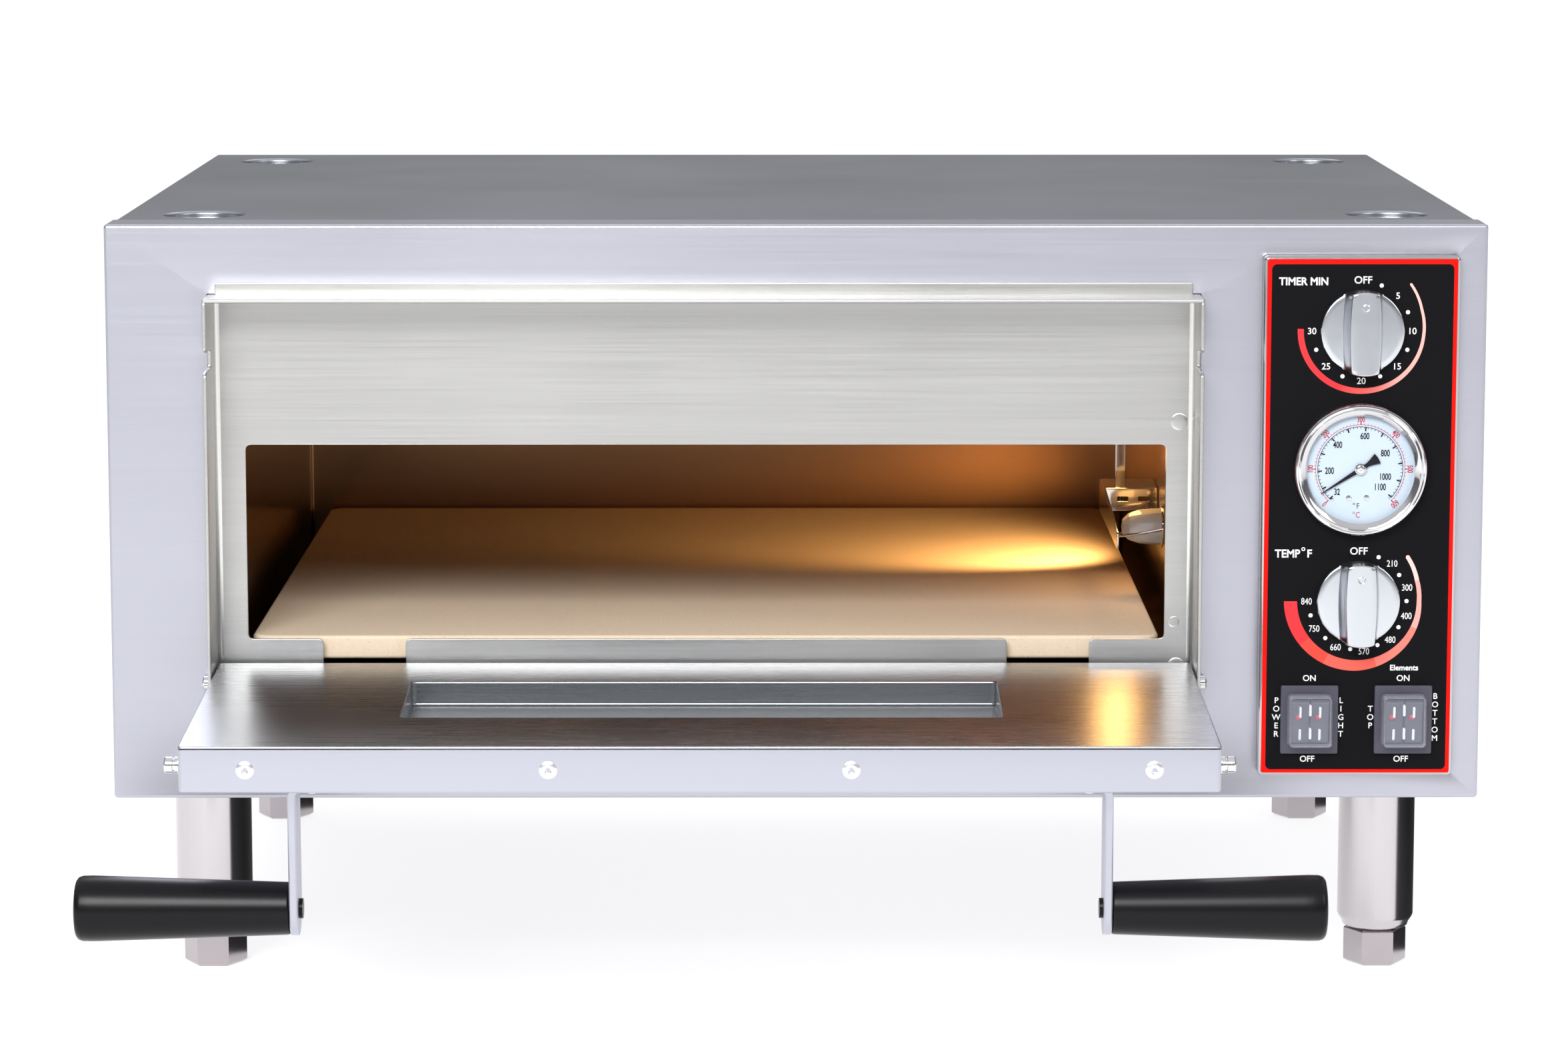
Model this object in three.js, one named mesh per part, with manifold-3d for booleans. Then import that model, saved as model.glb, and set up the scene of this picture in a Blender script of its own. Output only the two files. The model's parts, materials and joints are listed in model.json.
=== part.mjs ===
// Countertop deck oven with one baking chamber, a drop-down glazed door and a control plate.
// Millimetres, +Z up, +Y to the back. Sizes are first given in the oven's own layout, with
// x = 0 at the middle of the casing, y = 0 at the front of the fascia and z = 0 at the floor.
// The whole group is then shifted in y, so that the origin is at the bottom centre of its box.
import * as THREE from 'three';
import { mergeVertices } from 'three/addons/utils/BufferGeometryUtils.js';
import Module from 'manifold-3d';

const wasm = await Module();
wasm.setup();

// ---------------------------------------------------------------- driving dimensions
// casing
const bodyWidth = 700;
const bodyDepth = 520;
const bodyHeight = 295;
const sheet = 1.2; // casing sheet thickness
const lapGap = 0.2; // between lapped sheets
const gap = 0.3; // between pieces that are round, cut or turned
const topLap = 30; // fascia's return over the top
const sideLap = 15; // fascia's and cover's returns over the sides
const edgeMargin = 3; // least distance of a hole from a sheet's edge

// legs and the recesses that take the feet of an oven stacked on top
const legHeight = 104;
const legDiameter = 40;
const legWall = 1.5;
const legTaperHeight = 6;
const legTaper = 3;
const legFromSide = 42;
const frontLegFromFront = 79;
const rearLegFromBack = 55;
const footAcrossCorners = 33;
const footHeight = 20;
const footStemDiameter = 12;
const footStemLength = 50;
const recessDiameter = 41;
const recessDepth = 4;

// door bay: the frame with forward flanges that the door closes into
const bayFromLeft = 51.9;
const bayFromTop = 35.4;
const bayFromBase = 42;
const bayForward = 26; // flanges stand this far in front of the fascia
const baySheet = 2;
const frameSetback = 11; // front of the frame's inner plate behind the fascia's front
const tabHeight = 5.8; // tab that fastens the frame's top flange to the fascia

// baking chamber and its mouth
const mouthFromBayLeft = 17.1;
const mouthFromBayRight = 15.9;
const mouthFromBase = 81;
const mouthHeight = 100.5;
const mouthRadius = 3.5;
const chamberBelowMouth = 37;
const chamberAboveMouth = 26.5;
const chamberFromBay = 6.1; // chamber's inner wall face inside the bay's outer face
const chamberFromBack = 28;
const liftNotchWidth = 42.2;
const liftNotchDepth = 20;
const liftNotchFromMouthSide = 38.5;

// baking stone
const stoneThickness = 12;
const stoneProud = 0.8; // stone's top above the mouth's lower lip
const stoneSideGapLeft = 12;
const stoneSideGapRight = 13;
const stoneFromFrame = 3;
const stoneFromBack = 7;
const stoneCorner = 10;
const railWidth = 10;
const railInset = 18;

// heating elements
const elementDiameter = 8;
const elementRuns = 4;
const elementFromSide = 60;
const elementFromFront = 60;
const elementFromBack = 30;
const elementBelowCeiling = 16;
const elementAboveFloor = 12;
const elementTail = 8; // ends stand this far behind the chamber's back wall
const holeClearance = 1;

// chamber lamp
const lampFromFront = 137;
const lampLensRadius = 11;
const lampLensDepth = 24;
const lampBelowMouthTop = 62.5;
const lampCollar = 16; // lens collar through the wall
const lampRim = 2; // how far the seated rim reaches past the collar
const guardTopBelowMouthTop = 48.5;
const guardWidth = 30;
const guardFront = 95;
const guardLength = 145;
const guardDrop = 18;
const guardStrap = 6;
const guardStrapInset = 8.5; // side flange to strap
const guardShelf = 37;
const guardLip = 13;

// door, in its closed place: thickness towards the chamber, length upwards
const doorSideGap = 1;
const doorThickness = 23;
const doorTopGap = 18.2;
const pivotFromInnerFace = 8.5;
const pivotFromHingeEdge = 9;
const pivotAboveBase = 61;
const pivotForward = 5; // pivot in front of the fascia's front
const doorOpenAngle = 92.5;
const pivotPinDiameter = 7.3;
const pinProud = 4.7; // pins beyond the bay's flanges
const latchPinDiameter = 8;
const latchFromFreeEdge = 12;
const latchNotchHeight = 12;
const pinInDoor = 12;
const windowFromHingeEdge = 44.6;
const windowFromFreeEdge = 63.1;
const windowWidth = 294;
const windowRecess = 12;
const windowRadius = 4;
const glassThickness = 4;
const glassLap = 8;
const handleFromFreeEdge = 33;
const handleSpan = 397.5; // between the outer faces of the two brackets
const handleStandoff = 65;
const bracketThickness = 4;
const bracketWidth = 26;
const bracketFoot = 18;
const gripLength = 104;
const gripSmallDiameter = 25.5;
const gripLargeDiameter = 32;
const gripStud = 10;

// control plate and what is on it
const controlWidth = 99.3;
const controlFromRight = 14.8;
const controlFromTop = 15;
const controlFromBase = 13.6;
const controlProud = 10;
const controlSheet = 2;
const controlEdge = 2; // rounding of the plate's front edge
const labelMargin = 1.6;
const labelThickness = 0.4;
const timerFromTop = 38;
const gaugeFromTop = 108;
const thermostatFromTop = 176.1;
const switchFromTop = 236.9;
const knobDiameter = 42.4;
const knobSkirt = 4;
const knobHeight = 18;
const knobBarWidth = 17.8;
const shaftDiameter = 6;
const shaftLength = 14; // shaft in front of the plate
const controlBodySize = 44;
const timerBodyDepth = 30;
const thermostatBodyDepth = 38;
const bulbDiameter = 6;
const bulbReach = 46;
const bulbFromFront = 60;
const bulbBelowCeiling = 10;
const bezelDiameter = 67.6;
const bezelProud = 7;
const dialDiameter = 54.8; // visible through the bezel
const gaugeCanDiameter = 60;
const gaugeCanDepth = 26;
const gaugeWall = 1;
const pointerLength = 22;
const pointerTail = 11;
const pointerHubDiameter = 8;
const pointerRestAngle = 213; // direction of the tip seen from the front, from +X towards +Z
const switchSpacing = 47.8;
const switchWidth = 29.3;
const switchHeight = 35.2;
const switchFrame = 2.4;
const switchBodyMargin = 1.4;
const switchBodyDepth = 24;
const coverWidth = 22.3;
const coverHeight = 26.4;
const coverWall = 0.8;
const coverProud = 8;
const rockerClearance = 0.25;
const rockerHeight = 22;
const rockerDepth = 6.5; // pivot to the rocker's front
const rockerTilt = 9;

// back
const glandFromRight = 60;
const glandAboveBase = 38;
const glandThread = 20;
const glandBore = 9;
const glandNut = 27;
const glandProud = 22;
const slotCount = 9;
const slotWidth = 4;
const slotHeight = 90;
const slotFromTop = 45;
const slotPitch = 9;

// ---------------------------------------------------------------- layout worked out from them
const baseZ = legHeight;
const topZ = baseZ + bodyHeight;
const halfWidth = bodyWidth / 2;
const controlRight = halfWidth - controlFromRight;
const controlLeft = controlRight - controlWidth;
const controlTop = topZ - controlFromTop;
const controlBottom = baseZ + controlFromBase;
const controlX = (controlLeft + controlRight) / 2;
const bayToControl = 31;
const bayLeft = bayFromLeft - halfWidth;
const bayRight = controlLeft - bayToControl;
const bayTop = topZ - bayFromTop;
const bayBottom = baseZ + bayFromBase;
const bayCentre = (bayLeft + bayRight) / 2;
const frameBack = frameSetback + baySheet;

const mouthLeft = bayLeft + mouthFromBayLeft;
const mouthRight = bayRight - mouthFromBayRight;
const mouthBottom = baseZ + mouthFromBase;
const mouthTop = mouthBottom + mouthHeight;

const chamberLeft = bayLeft + chamberFromBay;
const chamberRight = bayRight - chamberFromBay + sheet;
const chamberFloor = mouthBottom - chamberBelowMouth;
const chamberCeiling = mouthTop + chamberAboveMouth;
const chamberFront = frameBack + lapGap;
const chamberBack = bodyDepth - chamberFromBack;

const pivotY = -pivotForward;
const pivotZ = baseZ + pivotAboveBase;
const doorWidth = bayRight - bayLeft - 2 * (baySheet + doorSideGap);
const doorTop = bayTop - baySheet - doorTopGap - pivotZ; // above the pivot
const doorInner = pivotFromInnerFace;
const doorOuter = pivotFromInnerFace - doorThickness;
const latchZ = doorTop - latchFromFreeEdge;

const plateFront = -controlProud;
const labelFront = plateFront - labelThickness;
const timerZ = controlTop - timerFromTop;
const gaugeZ = controlTop - gaugeFromTop;
const thermostatZ = controlTop - thermostatFromTop;
const switchZ = controlTop - switchFromTop;
const switchXs = [controlX - switchSpacing / 2, controlX + switchSpacing / 2];

const legXs = [legFromSide - halfWidth, halfWidth - legFromSide];
const legYs = [frontLegFromFront, bodyDepth - rearLegFromBack];

// ---------------------------------------------------------------- shape helpers
const round = 28; // sides of a large round piece
const small = 16; // sides of a small one
const weld = 0.02; // details smaller than this are dropped after a cut or join
const radians = Math.PI / 180;

// Box between two values on each axis.
function box(x0, x1, y0, y1, z0, z1) {
  const geometry = new THREE.BoxGeometry(x1 - x0, y1 - y0, z1 - z0);
  return geometry.translate((x0 + x1) / 2, (y0 + y1) / 2, (z0 + z1) / 2);
}

// Solid of revolution about an axis through `at`. Profile points are [radius, distance along it].
function turned(profile, axis, at, sides = round) {
  const points = profile.map(([radius, along]) => new THREE.Vector2(radius, along));
  const geometry = new THREE.LatheGeometry(points, sides);
  if (axis === 'x') geometry.rotateZ(-Math.PI / 2);
  if (axis === 'z') geometry.rotateX(Math.PI / 2);
  return geometry.translate(...at);
}

// Plain cylinder from one distance to another along its axis.
function rod(diameter, from, to, axis, at, sides = small) {
  const radius = diameter / 2;
  return turned([[0, from], [radius, from], [radius, to], [0, to]], axis, at, sides);
}

// Outline of a rectangle with rounded corners, as a Shape or as a hole.
function roundedRectangle(x0, x1, y0, y1, radius, Kind = THREE.Shape) {
  const path = new Kind();
  path.moveTo(x0 + radius, y0);
  path.lineTo(x1 - radius, y0);
  path.absarc(x1 - radius, y0 + radius, radius, -Math.PI / 2, 0);
  path.lineTo(x1, y1 - radius);
  path.absarc(x1 - radius, y1 - radius, radius, 0, Math.PI / 2);
  path.lineTo(x0 + radius, y1);
  path.absarc(x0 + radius, y1 - radius, radius, Math.PI / 2, Math.PI);
  path.lineTo(x0, y0 + radius);
  path.absarc(x0 + radius, y0 + radius, radius, Math.PI, 1.5 * Math.PI);
  return path;
}

// Plate whose outline lies in the x-z plane, between two values of y.
function plateXZ(shape, y0, y1, curveSegments = 4) {
  const options = { depth: y1 - y0, bevelEnabled: false, curveSegments };
  return new THREE.ExtrudeGeometry(shape, options).rotateX(Math.PI / 2).translate(0, y1, 0);
}

// Plate whose outline lies in the x-y plane, between two values of z.
function plateXY(shape, z0, z1, curveSegments = 4) {
  const options = { depth: z1 - z0, bevelEnabled: false, curveSegments };
  return new THREE.ExtrudeGeometry(shape, options).translate(0, 0, z0);
}

// Plate whose outline lies in the y-z plane, between two values of x.
function plateYZ(shape, x0, x1, curveSegments = 6) {
  const options = { depth: x1 - x0, bevelEnabled: false, curveSegments };
  const geometry = new THREE.ExtrudeGeometry(shape, options);
  return geometry.rotateX(Math.PI / 2).rotateZ(Math.PI / 2).translate(x0, 0, 0);
}

// Coordinates are rounded to a thousandth, so that faces meant to be level are exactly level.
function toSolid(geometry) {
  const bare = geometry.clone();
  bare.deleteAttribute('normal');
  bare.deleteAttribute('uv');
  const places = bare.attributes.position.array;
  places.forEach((value, i) => { places[i] = Math.round(value * 1000) / 1000; });
  const merged = mergeVertices(bare, 1e-4);
  const vertProperties = new Float32Array(merged.attributes.position.array);
  const triVerts = new Uint32Array(merged.index.array);
  return new wasm.Manifold(new wasm.Mesh({ numProp: 3, vertProperties, triVerts }));
}

function toGeometry(solid) {
  const mesh = solid.getMesh();
  const geometry = new THREE.BufferGeometry();
  geometry.setAttribute('position', new THREE.BufferAttribute(mesh.vertProperties, 3));
  geometry.setIndex(new THREE.BufferAttribute(mesh.triVerts, 1));
  return geometry;
}

// One piece from overlapping shapes, less the shapes that are cut out of it.
function made(shapes, cuts = []) {
  const whole = shapes.map(toSolid).reduce((sum, solid) => sum.add(solid));
  const cut = cuts.map(toSolid).reduce((rest, solid) => rest.subtract(solid), whole);
  return toGeometry(cut.simplify(weld));
}

// One shape less others.
function trimmed(shape, ...cuts) {
  return made([shape], cuts);
}

// ---------------------------------------------------------------- finishes
function finish(color, roughness, metalness, extra = {}) {
  return new THREE.MeshStandardMaterial({ color, roughness, metalness, ...extra });
}
const finishes = {
  brushed: finish(0xc8c8d0, 0.35, 1),
  polished: finish(0xb8a48c, 0.12, 1),
  frame: finish(0xb4b2b4, 0.4, 1),
  doorSteel: finish(0x9a9aa2, 0.25, 1),
  stone: finish(0xd6bd94, 0.9, 0),
  element: finish(0x3a3836, 0.6, 0.6),
  wool: finish(0xe6e2d6, 1, 0),
  glass: finish(0xd8e0e0, 0.05, 0, { transparent: true, opacity: 0.35 }),
  black: finish(0x101012, 0.25, 0),
  satin: finish(0xc2c4c8, 0.3, 0.9),
  chrome: finish(0xd8dce0, 0.08, 1),
  label: finish(0x1c1c1e, 0.45, 0),
  dial: finish(0xe8eef4, 0.5, 0),
  pointer: finish(0x141414, 0.4, 0),
  switchBlack: finish(0x34323e, 0.4, 0),
  ceramic: finish(0xe8e4dc, 0.6, 0),
  zinc: finish(0xa8a8a4, 0.45, 0.9),
  nylon: finish(0x3a3a3c, 0.6, 0),
};

const oven = new THREE.Group();

function piece(parent, name, geometry, material) {
  const mesh = new THREE.Mesh(geometry, finishes[material]);
  mesh.name = name;
  parent.add(mesh);
}

// ---------------------------------------------------------------- casing
// Places of the four recesses in the top, one above each leg.
function recesses(diameter, z0, z1) {
  return legXs.flatMap((x) => legYs.map((y) => rod(diameter, z0, z1, 'z', [x, y, 0], round)));
}

function addCasing() {
  const coverTop = topZ - sheet - lapGap;
  const coverUnder = coverTop - sheet;
  const sideOuter = halfWidth - sheet - lapGap;
  const sideInner = sideOuter - sheet;
  const sheetTop = coverUnder - lapGap;
  const behindFascia = sheet + lapGap;
  const backInner = bodyDepth - 2 * sheet - lapGap;
  const lipBottom = coverTop - sideLap;

  const tray = trimmed(
    box(-halfWidth, halfWidth, behindFascia, bodyDepth, lipBottom, coverTop),
    box(sheet - halfWidth, halfWidth - sheet, 0, bodyDepth - sheet, lipBottom - 1, coverUnder),
    box(-bodyWidth, sheet - halfWidth, 0, sideLap + lapGap, lipBottom - 1, topZ),
    box(halfWidth - sheet, bodyWidth, 0, sideLap + lapGap, lipBottom - 1, topZ),
  );
  const cups = recesses(recessDiameter + 2 * sheet, coverUnder - recessDepth, coverUnder + sheet / 2);
  const cover = made([tray, ...cups], recesses(recessDiameter, coverTop - recessDepth, topZ));
  piece(oven, 'top_cover', cover, 'brushed');

  for (const [name, side] of [['left_side_panel', -1], ['right_side_panel', 1]]) {
    const faces = [side * sideInner, side * sideOuter].sort((a, b) => a - b);
    const panel = box(...faces, behindFascia, backInner - lapGap, baseZ, sheetTop);
    piece(oven, name, panel, 'brushed');
  }

  const back = box(-sideOuter, sideOuter, backInner, backInner + sheet, baseZ, sheetTop);
  const glandX = halfWidth - glandFromRight;
  const glandZ = baseZ + glandAboveBase;
  const slots = Array.from({ length: slotCount }, (_, i) => {
    const x = glandX + (i - (slotCount - 1) / 2) * slotPitch;
    const z = sheetTop - slotFromTop;
    return box(x - slotWidth / 2, x + slotWidth / 2, backInner - 1, bodyDepth, z - slotHeight, z);
  });
  const glandHole = rod(glandThread + 4 * gap, backInner - 1, bodyDepth, 'y', [glandX, 0, glandZ], 24);
  piece(oven, 'back_panel', made([back], [glandHole, ...slots]), 'brushed');

  const base = box(-sideInner + lapGap, sideInner - lapGap, sheet + lapGap, backInner - lapGap,
    baseZ, baseZ + sheet);
  piece(oven, 'base_panel', base, 'brushed');

  const opening = gap + lapGap;
  const fascia = trimmed(
    box(-halfWidth, halfWidth, 0, topLap, baseZ, topZ),
    box(sheet - halfWidth, halfWidth - sheet, sheet, topLap + 1, baseZ - 1, topZ - sheet),
    box(-bodyWidth, bodyWidth, sideLap, topLap + 1, baseZ - 1, topZ - sheet),
    box(bayLeft - opening, bayRight + opening, -1, 2 * sheet, bayBottom - opening, bayTop + opening),
    box(controlLeft + edgeMargin, controlRight - edgeMargin, -1, 2 * sheet,
      controlBottom + edgeMargin, controlTop - edgeMargin),
  );
  piece(oven, 'front_fascia', fascia, 'brushed');
}

// ---------------------------------------------------------------- legs and feet
function addLegs() {
  const radius = legDiameter / 2;
  const stemHole = footStemDiameter / 2 + gap;
  const plugTop = footHeight + legTaperHeight + 4;
  const leg = [
    [stemHole, footHeight], [radius - legTaper, footHeight], [radius, footHeight + legTaperHeight],
    [radius, legHeight], [radius - legWall, legHeight], [radius - legWall, plugTop],
    [stemHole, plugTop], [stemHole, footHeight],
  ];
  const hexTop = footHeight - gap;
  const names = ['left_front', 'left_rear', 'right_front', 'right_rear'];
  legXs.forEach((x, i) => legYs.forEach((y, j) => {
    const name = names[2 * i + j];
    piece(oven, `${name}_leg`, turned(leg, 'z', [x, y, 0]), 'brushed');
    const hex = turned([[0, 0], [footAcrossCorners / 2, 0], [footAcrossCorners / 2, hexTop], [0, hexTop]],
      'y', [0, 0, 0], 6);
    hex.rotateX(Math.PI / 2).rotateZ(Math.PI / 2).translate(x, y, 0);
    const stem = rod(footStemDiameter, hexTop / 2, hexTop + footStemLength, 'z', [x, y, 0]);
    piece(oven, `${name}_foot`, made([hex, stem]), 'zinc');
  }));
}

// ---------------------------------------------------------------- door bay frame
function addDoorFrame() {
  const inner = frameSetback;
  const latchAt = pivotZ + latchZ;
  const notchBack = pivotY + pivotFromInnerFace - doorThickness / 2 + latchPinDiameter / 2 + 1;
  const notches = [bayLeft, bayRight].map((x) => box(x - baySheet - 1, x + baySheet + 1,
    -bayForward - 1, notchBack, latchAt - latchNotchHeight / 2, latchAt + latchNotchHeight / 2));
  const pinHole = rod(pivotPinDiameter + 2 * gap, bayLeft - 1, bayRight + 1, 'x', [0, pivotY, pivotZ]);
  const mouth = plateXZ(roundedRectangle(mouthLeft, mouthRight, mouthBottom, mouthTop, mouthRadius),
    inner - 1, frameBack + 1, 6);
  const liftNotchXs = [
    mouthLeft + liftNotchFromMouthSide,
    mouthRight - liftNotchFromMouthSide - liftNotchWidth,
  ];
  const liftNotches = liftNotchXs.map((x) => box(x, x + liftNotchWidth, inner - 1, frameBack + 1,
    mouthBottom - liftNotchDepth, mouthBottom + 1));
  const tray = trimmed(
    box(bayLeft, bayRight, -bayForward, frameBack, bayBottom, bayTop),
    box(bayLeft + baySheet, bayRight - baySheet, -bayForward - 1, inner, bayBottom - 1, bayTop - baySheet),
  );
  const tab = box(bayLeft + baySheet, bayRight - baySheet, -lapGap - sheet, -lapGap, bayTop - sheet,
    bayTop + tabHeight);
  const frame = made([tray, tab], [...notches, pinHole, mouth, ...liftNotches]);
  piece(oven, 'door_frame', frame, 'frame');
}

// ---------------------------------------------------------------- baking chamber
// Path of a heating element: straight runs joined by half turns, both ends at the back.
function elementPath(z) {
  const left = chamberLeft + elementFromSide;
  const pitch = (chamberRight - elementFromSide - left) / (elementRuns - 1);
  const turn = pitch / 2;
  const front = chamberFront + elementFromFront + turn;
  const back = chamberBack - elementFromBack - turn;
  const end = chamberBack + sheet + elementTail;
  const points = [new THREE.Vector3(left, end, z)];
  for (let run = 0; run < elementRuns; run += 1) {
    const x = left + run * pitch;
    const forward = run % 2 === 0;
    const isEnd = run === 0 || run === elementRuns - 1;
    const rearmost = isEnd ? end : back;
    const [from, to] = forward ? [rearmost, front] : [front, rearmost];
    for (const share of [0.34, 0.67, 1]) points.push(new THREE.Vector3(x, from + (to - from) * share, z));
    if (run === elementRuns - 1) break;
    const [centreY, sense] = [to, forward ? -1 : 1];
    for (let step = 1; step <= 6; step += 1) {
      const angle = step / 6 * Math.PI;
      const across = x + turn * (1 - Math.cos(angle));
      points.push(new THREE.Vector3(across, centreY + sense * turn * Math.sin(angle), z));
    }
  }
  return new THREE.CatmullRomCurve3(points, false, 'centripetal');
}

function elementTube(z) {
  const section = new THREE.Shape();
  section.absarc(0, 0, elementDiameter / 2, 0, 2 * Math.PI);
  const options = { extrudePath: elementPath(z), steps: 60, curveSegments: 3, bevelEnabled: false };
  return new THREE.ExtrudeGeometry(section, options);
}

function addChamber() {
  const topElementZ = chamberCeiling - elementBelowCeiling;
  const bottomElementZ = chamberFloor + elementAboveFloor;
  const stoneTop = mouthBottom + stoneProud;
  const stoneBottom = stoneTop - stoneThickness;
  const front = chamberFront;
  const outerLeft = chamberLeft - sheet;
  const outerRight = chamberRight + sheet;

  const bulbY = front + bulbFromFront;
  const bulbZ = chamberCeiling - bulbBelowCeiling;
  const bulbHole = rod(bulbDiameter + 2 * holeClearance, chamberRight - 5, halfWidth / 2 + chamberRight, 'x',
    [0, bulbY, bulbZ]);
  const lampY = front + lampFromFront;
  const lampZ = mouthTop - lampBelowMouthTop;
  const lampHole = rod(lampCollar + 2 * holeClearance, chamberRight - 5, halfWidth / 2 + chamberRight, 'x',
    [0, lampY, lampZ], round);

  const wallTop = chamberCeiling;
  const leftWall = box(outerLeft, chamberLeft, front, chamberBack, chamberFloor, wallTop);
  piece(oven, 'chamber_left_wall', leftWall, 'polished');
  const rightWall = made([box(chamberRight, outerRight, front, chamberBack, chamberFloor, wallTop)],
    [bulbHole, lampHole]);
  piece(oven, 'chamber_right_wall', rightWall, 'polished');

  const ends = [elementPath(0).points[0].x, elementPath(0).points.at(-1).x];
  const endHoles = ends.flatMap((x) => [topElementZ, bottomElementZ].map((z) =>
    rod(elementDiameter + 2 * holeClearance, chamberBack - 5, chamberBack + 5, 'y', [x, 0, z])));
  const backWall = made([box(outerLeft, outerRight, chamberBack, chamberBack + sheet, chamberFloor, wallTop)],
    endHoles);
  piece(oven, 'chamber_back_wall', backWall, 'polished');
  piece(oven, 'chamber_ceiling',
    box(outerLeft, outerRight, front, chamberBack + sheet, wallTop, wallTop + sheet), 'polished');

  const stoneLeft = chamberLeft + stoneSideGapLeft;
  const stoneRight = chamberRight - stoneSideGapRight;
  const rails = [stoneLeft + railInset, stoneRight - railInset - railWidth].map((x) =>
    box(x, x + railWidth, front + railInset, chamberBack - railInset, chamberFloor - sheet, stoneBottom));
  const floor = box(outerLeft, outerRight, front, chamberBack + sheet, chamberFloor - sheet, chamberFloor);
  piece(oven, 'chamber_floor', made([floor, ...rails]), 'polished');

  const stone = roundedRectangle(stoneLeft, stoneRight, frameBack + stoneFromFrame,
    chamberBack - stoneFromBack, stoneCorner);
  piece(oven, 'baking_stone', plateXY(stone, stoneBottom, stoneTop), 'stone');

  piece(oven, 'top_heating_element', elementTube(topElementZ), 'element');
  piece(oven, 'bottom_heating_element', elementTube(bottomElementZ), 'element');

  // Lamp guard: a shelf with a front lip and a tapering side flange, hung from the ceiling.
  const guardTop = mouthTop - guardTopBelowMouthTop;
  const guardLeft = chamberRight - guardWidth;
  const guardRight = chamberRight - gap;
  const guardStart = front + guardFront - guardWidth / 2;
  const guardEnd = guardStart + guardLength;
  const flange = new THREE.Shape();
  flange.moveTo(guardStart, guardTop - guardDrop / 2);
  flange.lineTo(guardStart, guardTop - guardDrop);
  flange.lineTo(guardEnd, guardTop - guardDrop);
  flange.lineTo(guardEnd, guardTop);
  flange.lineTo(guardEnd - guardShelf, guardTop);
  const lipBack = guardEnd - guardShelf + sheet;
  const strapLeft = guardLeft + guardStrapInset;
  const lampHolder = made([
    box(guardLeft, guardRight, guardEnd - guardShelf, guardEnd, guardTop - sheet, guardTop),
    box(guardLeft, guardRight, guardEnd - guardShelf, lipBack, guardTop - guardLip, guardTop),
    plateYZ(flange, guardLeft, guardLeft + sheet),
    box(strapLeft, strapLeft + guardStrap, guardEnd - sheet, guardEnd, guardTop - sheet, wallTop - gap),
  ]);
  piece(oven, 'lamp_guard', lampHolder, 'polished');

  const collar = lampCollar / 2;
  const lens = lampLensRadius - 1;
  const rim = Math.max(lens, collar + lampRim);
  const dome = turned([
    [0, -lampLensDepth], [lens * 0.5, -lampLensDepth * 0.93], [lens * 0.82, -lampLensDepth * 0.68],
    [lens, -lampLensDepth * 0.3], [rim, -gap], [collar, -gap], [collar, sheet + 8],
    [collar - 2.5, sheet + 8], [collar - 2.5, -gap - 3], [lens - 4, -lampLensDepth * 0.35],
    [lens * 0.5, -lampLensDepth * 0.78],
    [0, -lampLensDepth * 0.84],
  ], 'x', [chamberRight, lampY, lampZ], 12);
  piece(oven, 'lamp_lens', dome, 'glass');
  const socket = rod(2 * collar + 12, sheet + 8 + gap, sheet + 34, 'x', [chamberRight, lampY, lampZ], small);
  piece(oven, 'lamp_socket', socket, 'ceramic');

  const bulbEnd = chamberRight - bulbReach;
  const bulb = made([
    rod(bulbDiameter, bulbEnd, outerRight + 26, 'x', [0, bulbY, bulbZ]),
    rod(2 * bulbDiameter, outerRight + gap, outerRight + 3, 'x', [0, bulbY, bulbZ]),
  ]);
  piece(oven, 'thermostat_bulb', bulb, 'satin');

  // Mineral wool around the chamber. The lamp socket and the bulb pass through the side.
  const woolFront = front + 3;
  const woolTop = topZ - 3 * sheet - lapGap - recessDepth - 2;
  const woolRight = outerRight + 22;
  const casingInner = halfWidth - 2 * sheet - lapGap - 2;
  const clear = 1;
  piece(oven, 'insulation_top', box(outerLeft, outerRight, woolFront, chamberBack + sheet,
    wallTop + sheet + clear, woolTop), 'wool');
  piece(oven, 'insulation_base', box(outerLeft, outerRight, woolFront, chamberBack + sheet,
    baseZ + sheet + clear, chamberFloor - sheet - clear), 'wool');
  const woolBack = [chamberBack + sheet + elementTail + clear, bodyDepth - 3 * sheet];
  const surround = trimmed(
    box(-casingInner, woolRight, woolFront, woolBack[1], chamberFloor, wallTop),
    box(outerLeft - clear, outerRight + clear, 0, woolBack[0], 0, topZ),
    rod(2 * collar + 16, chamberRight, woolRight + 5, 'x', [0, lampY, lampZ]),
    rod(2 * bulbDiameter + 2, chamberRight, woolRight + 5, 'x', [0, bulbY, bulbZ]),
  );
  piece(oven, 'insulation_surround', surround, 'wool');
}

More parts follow.
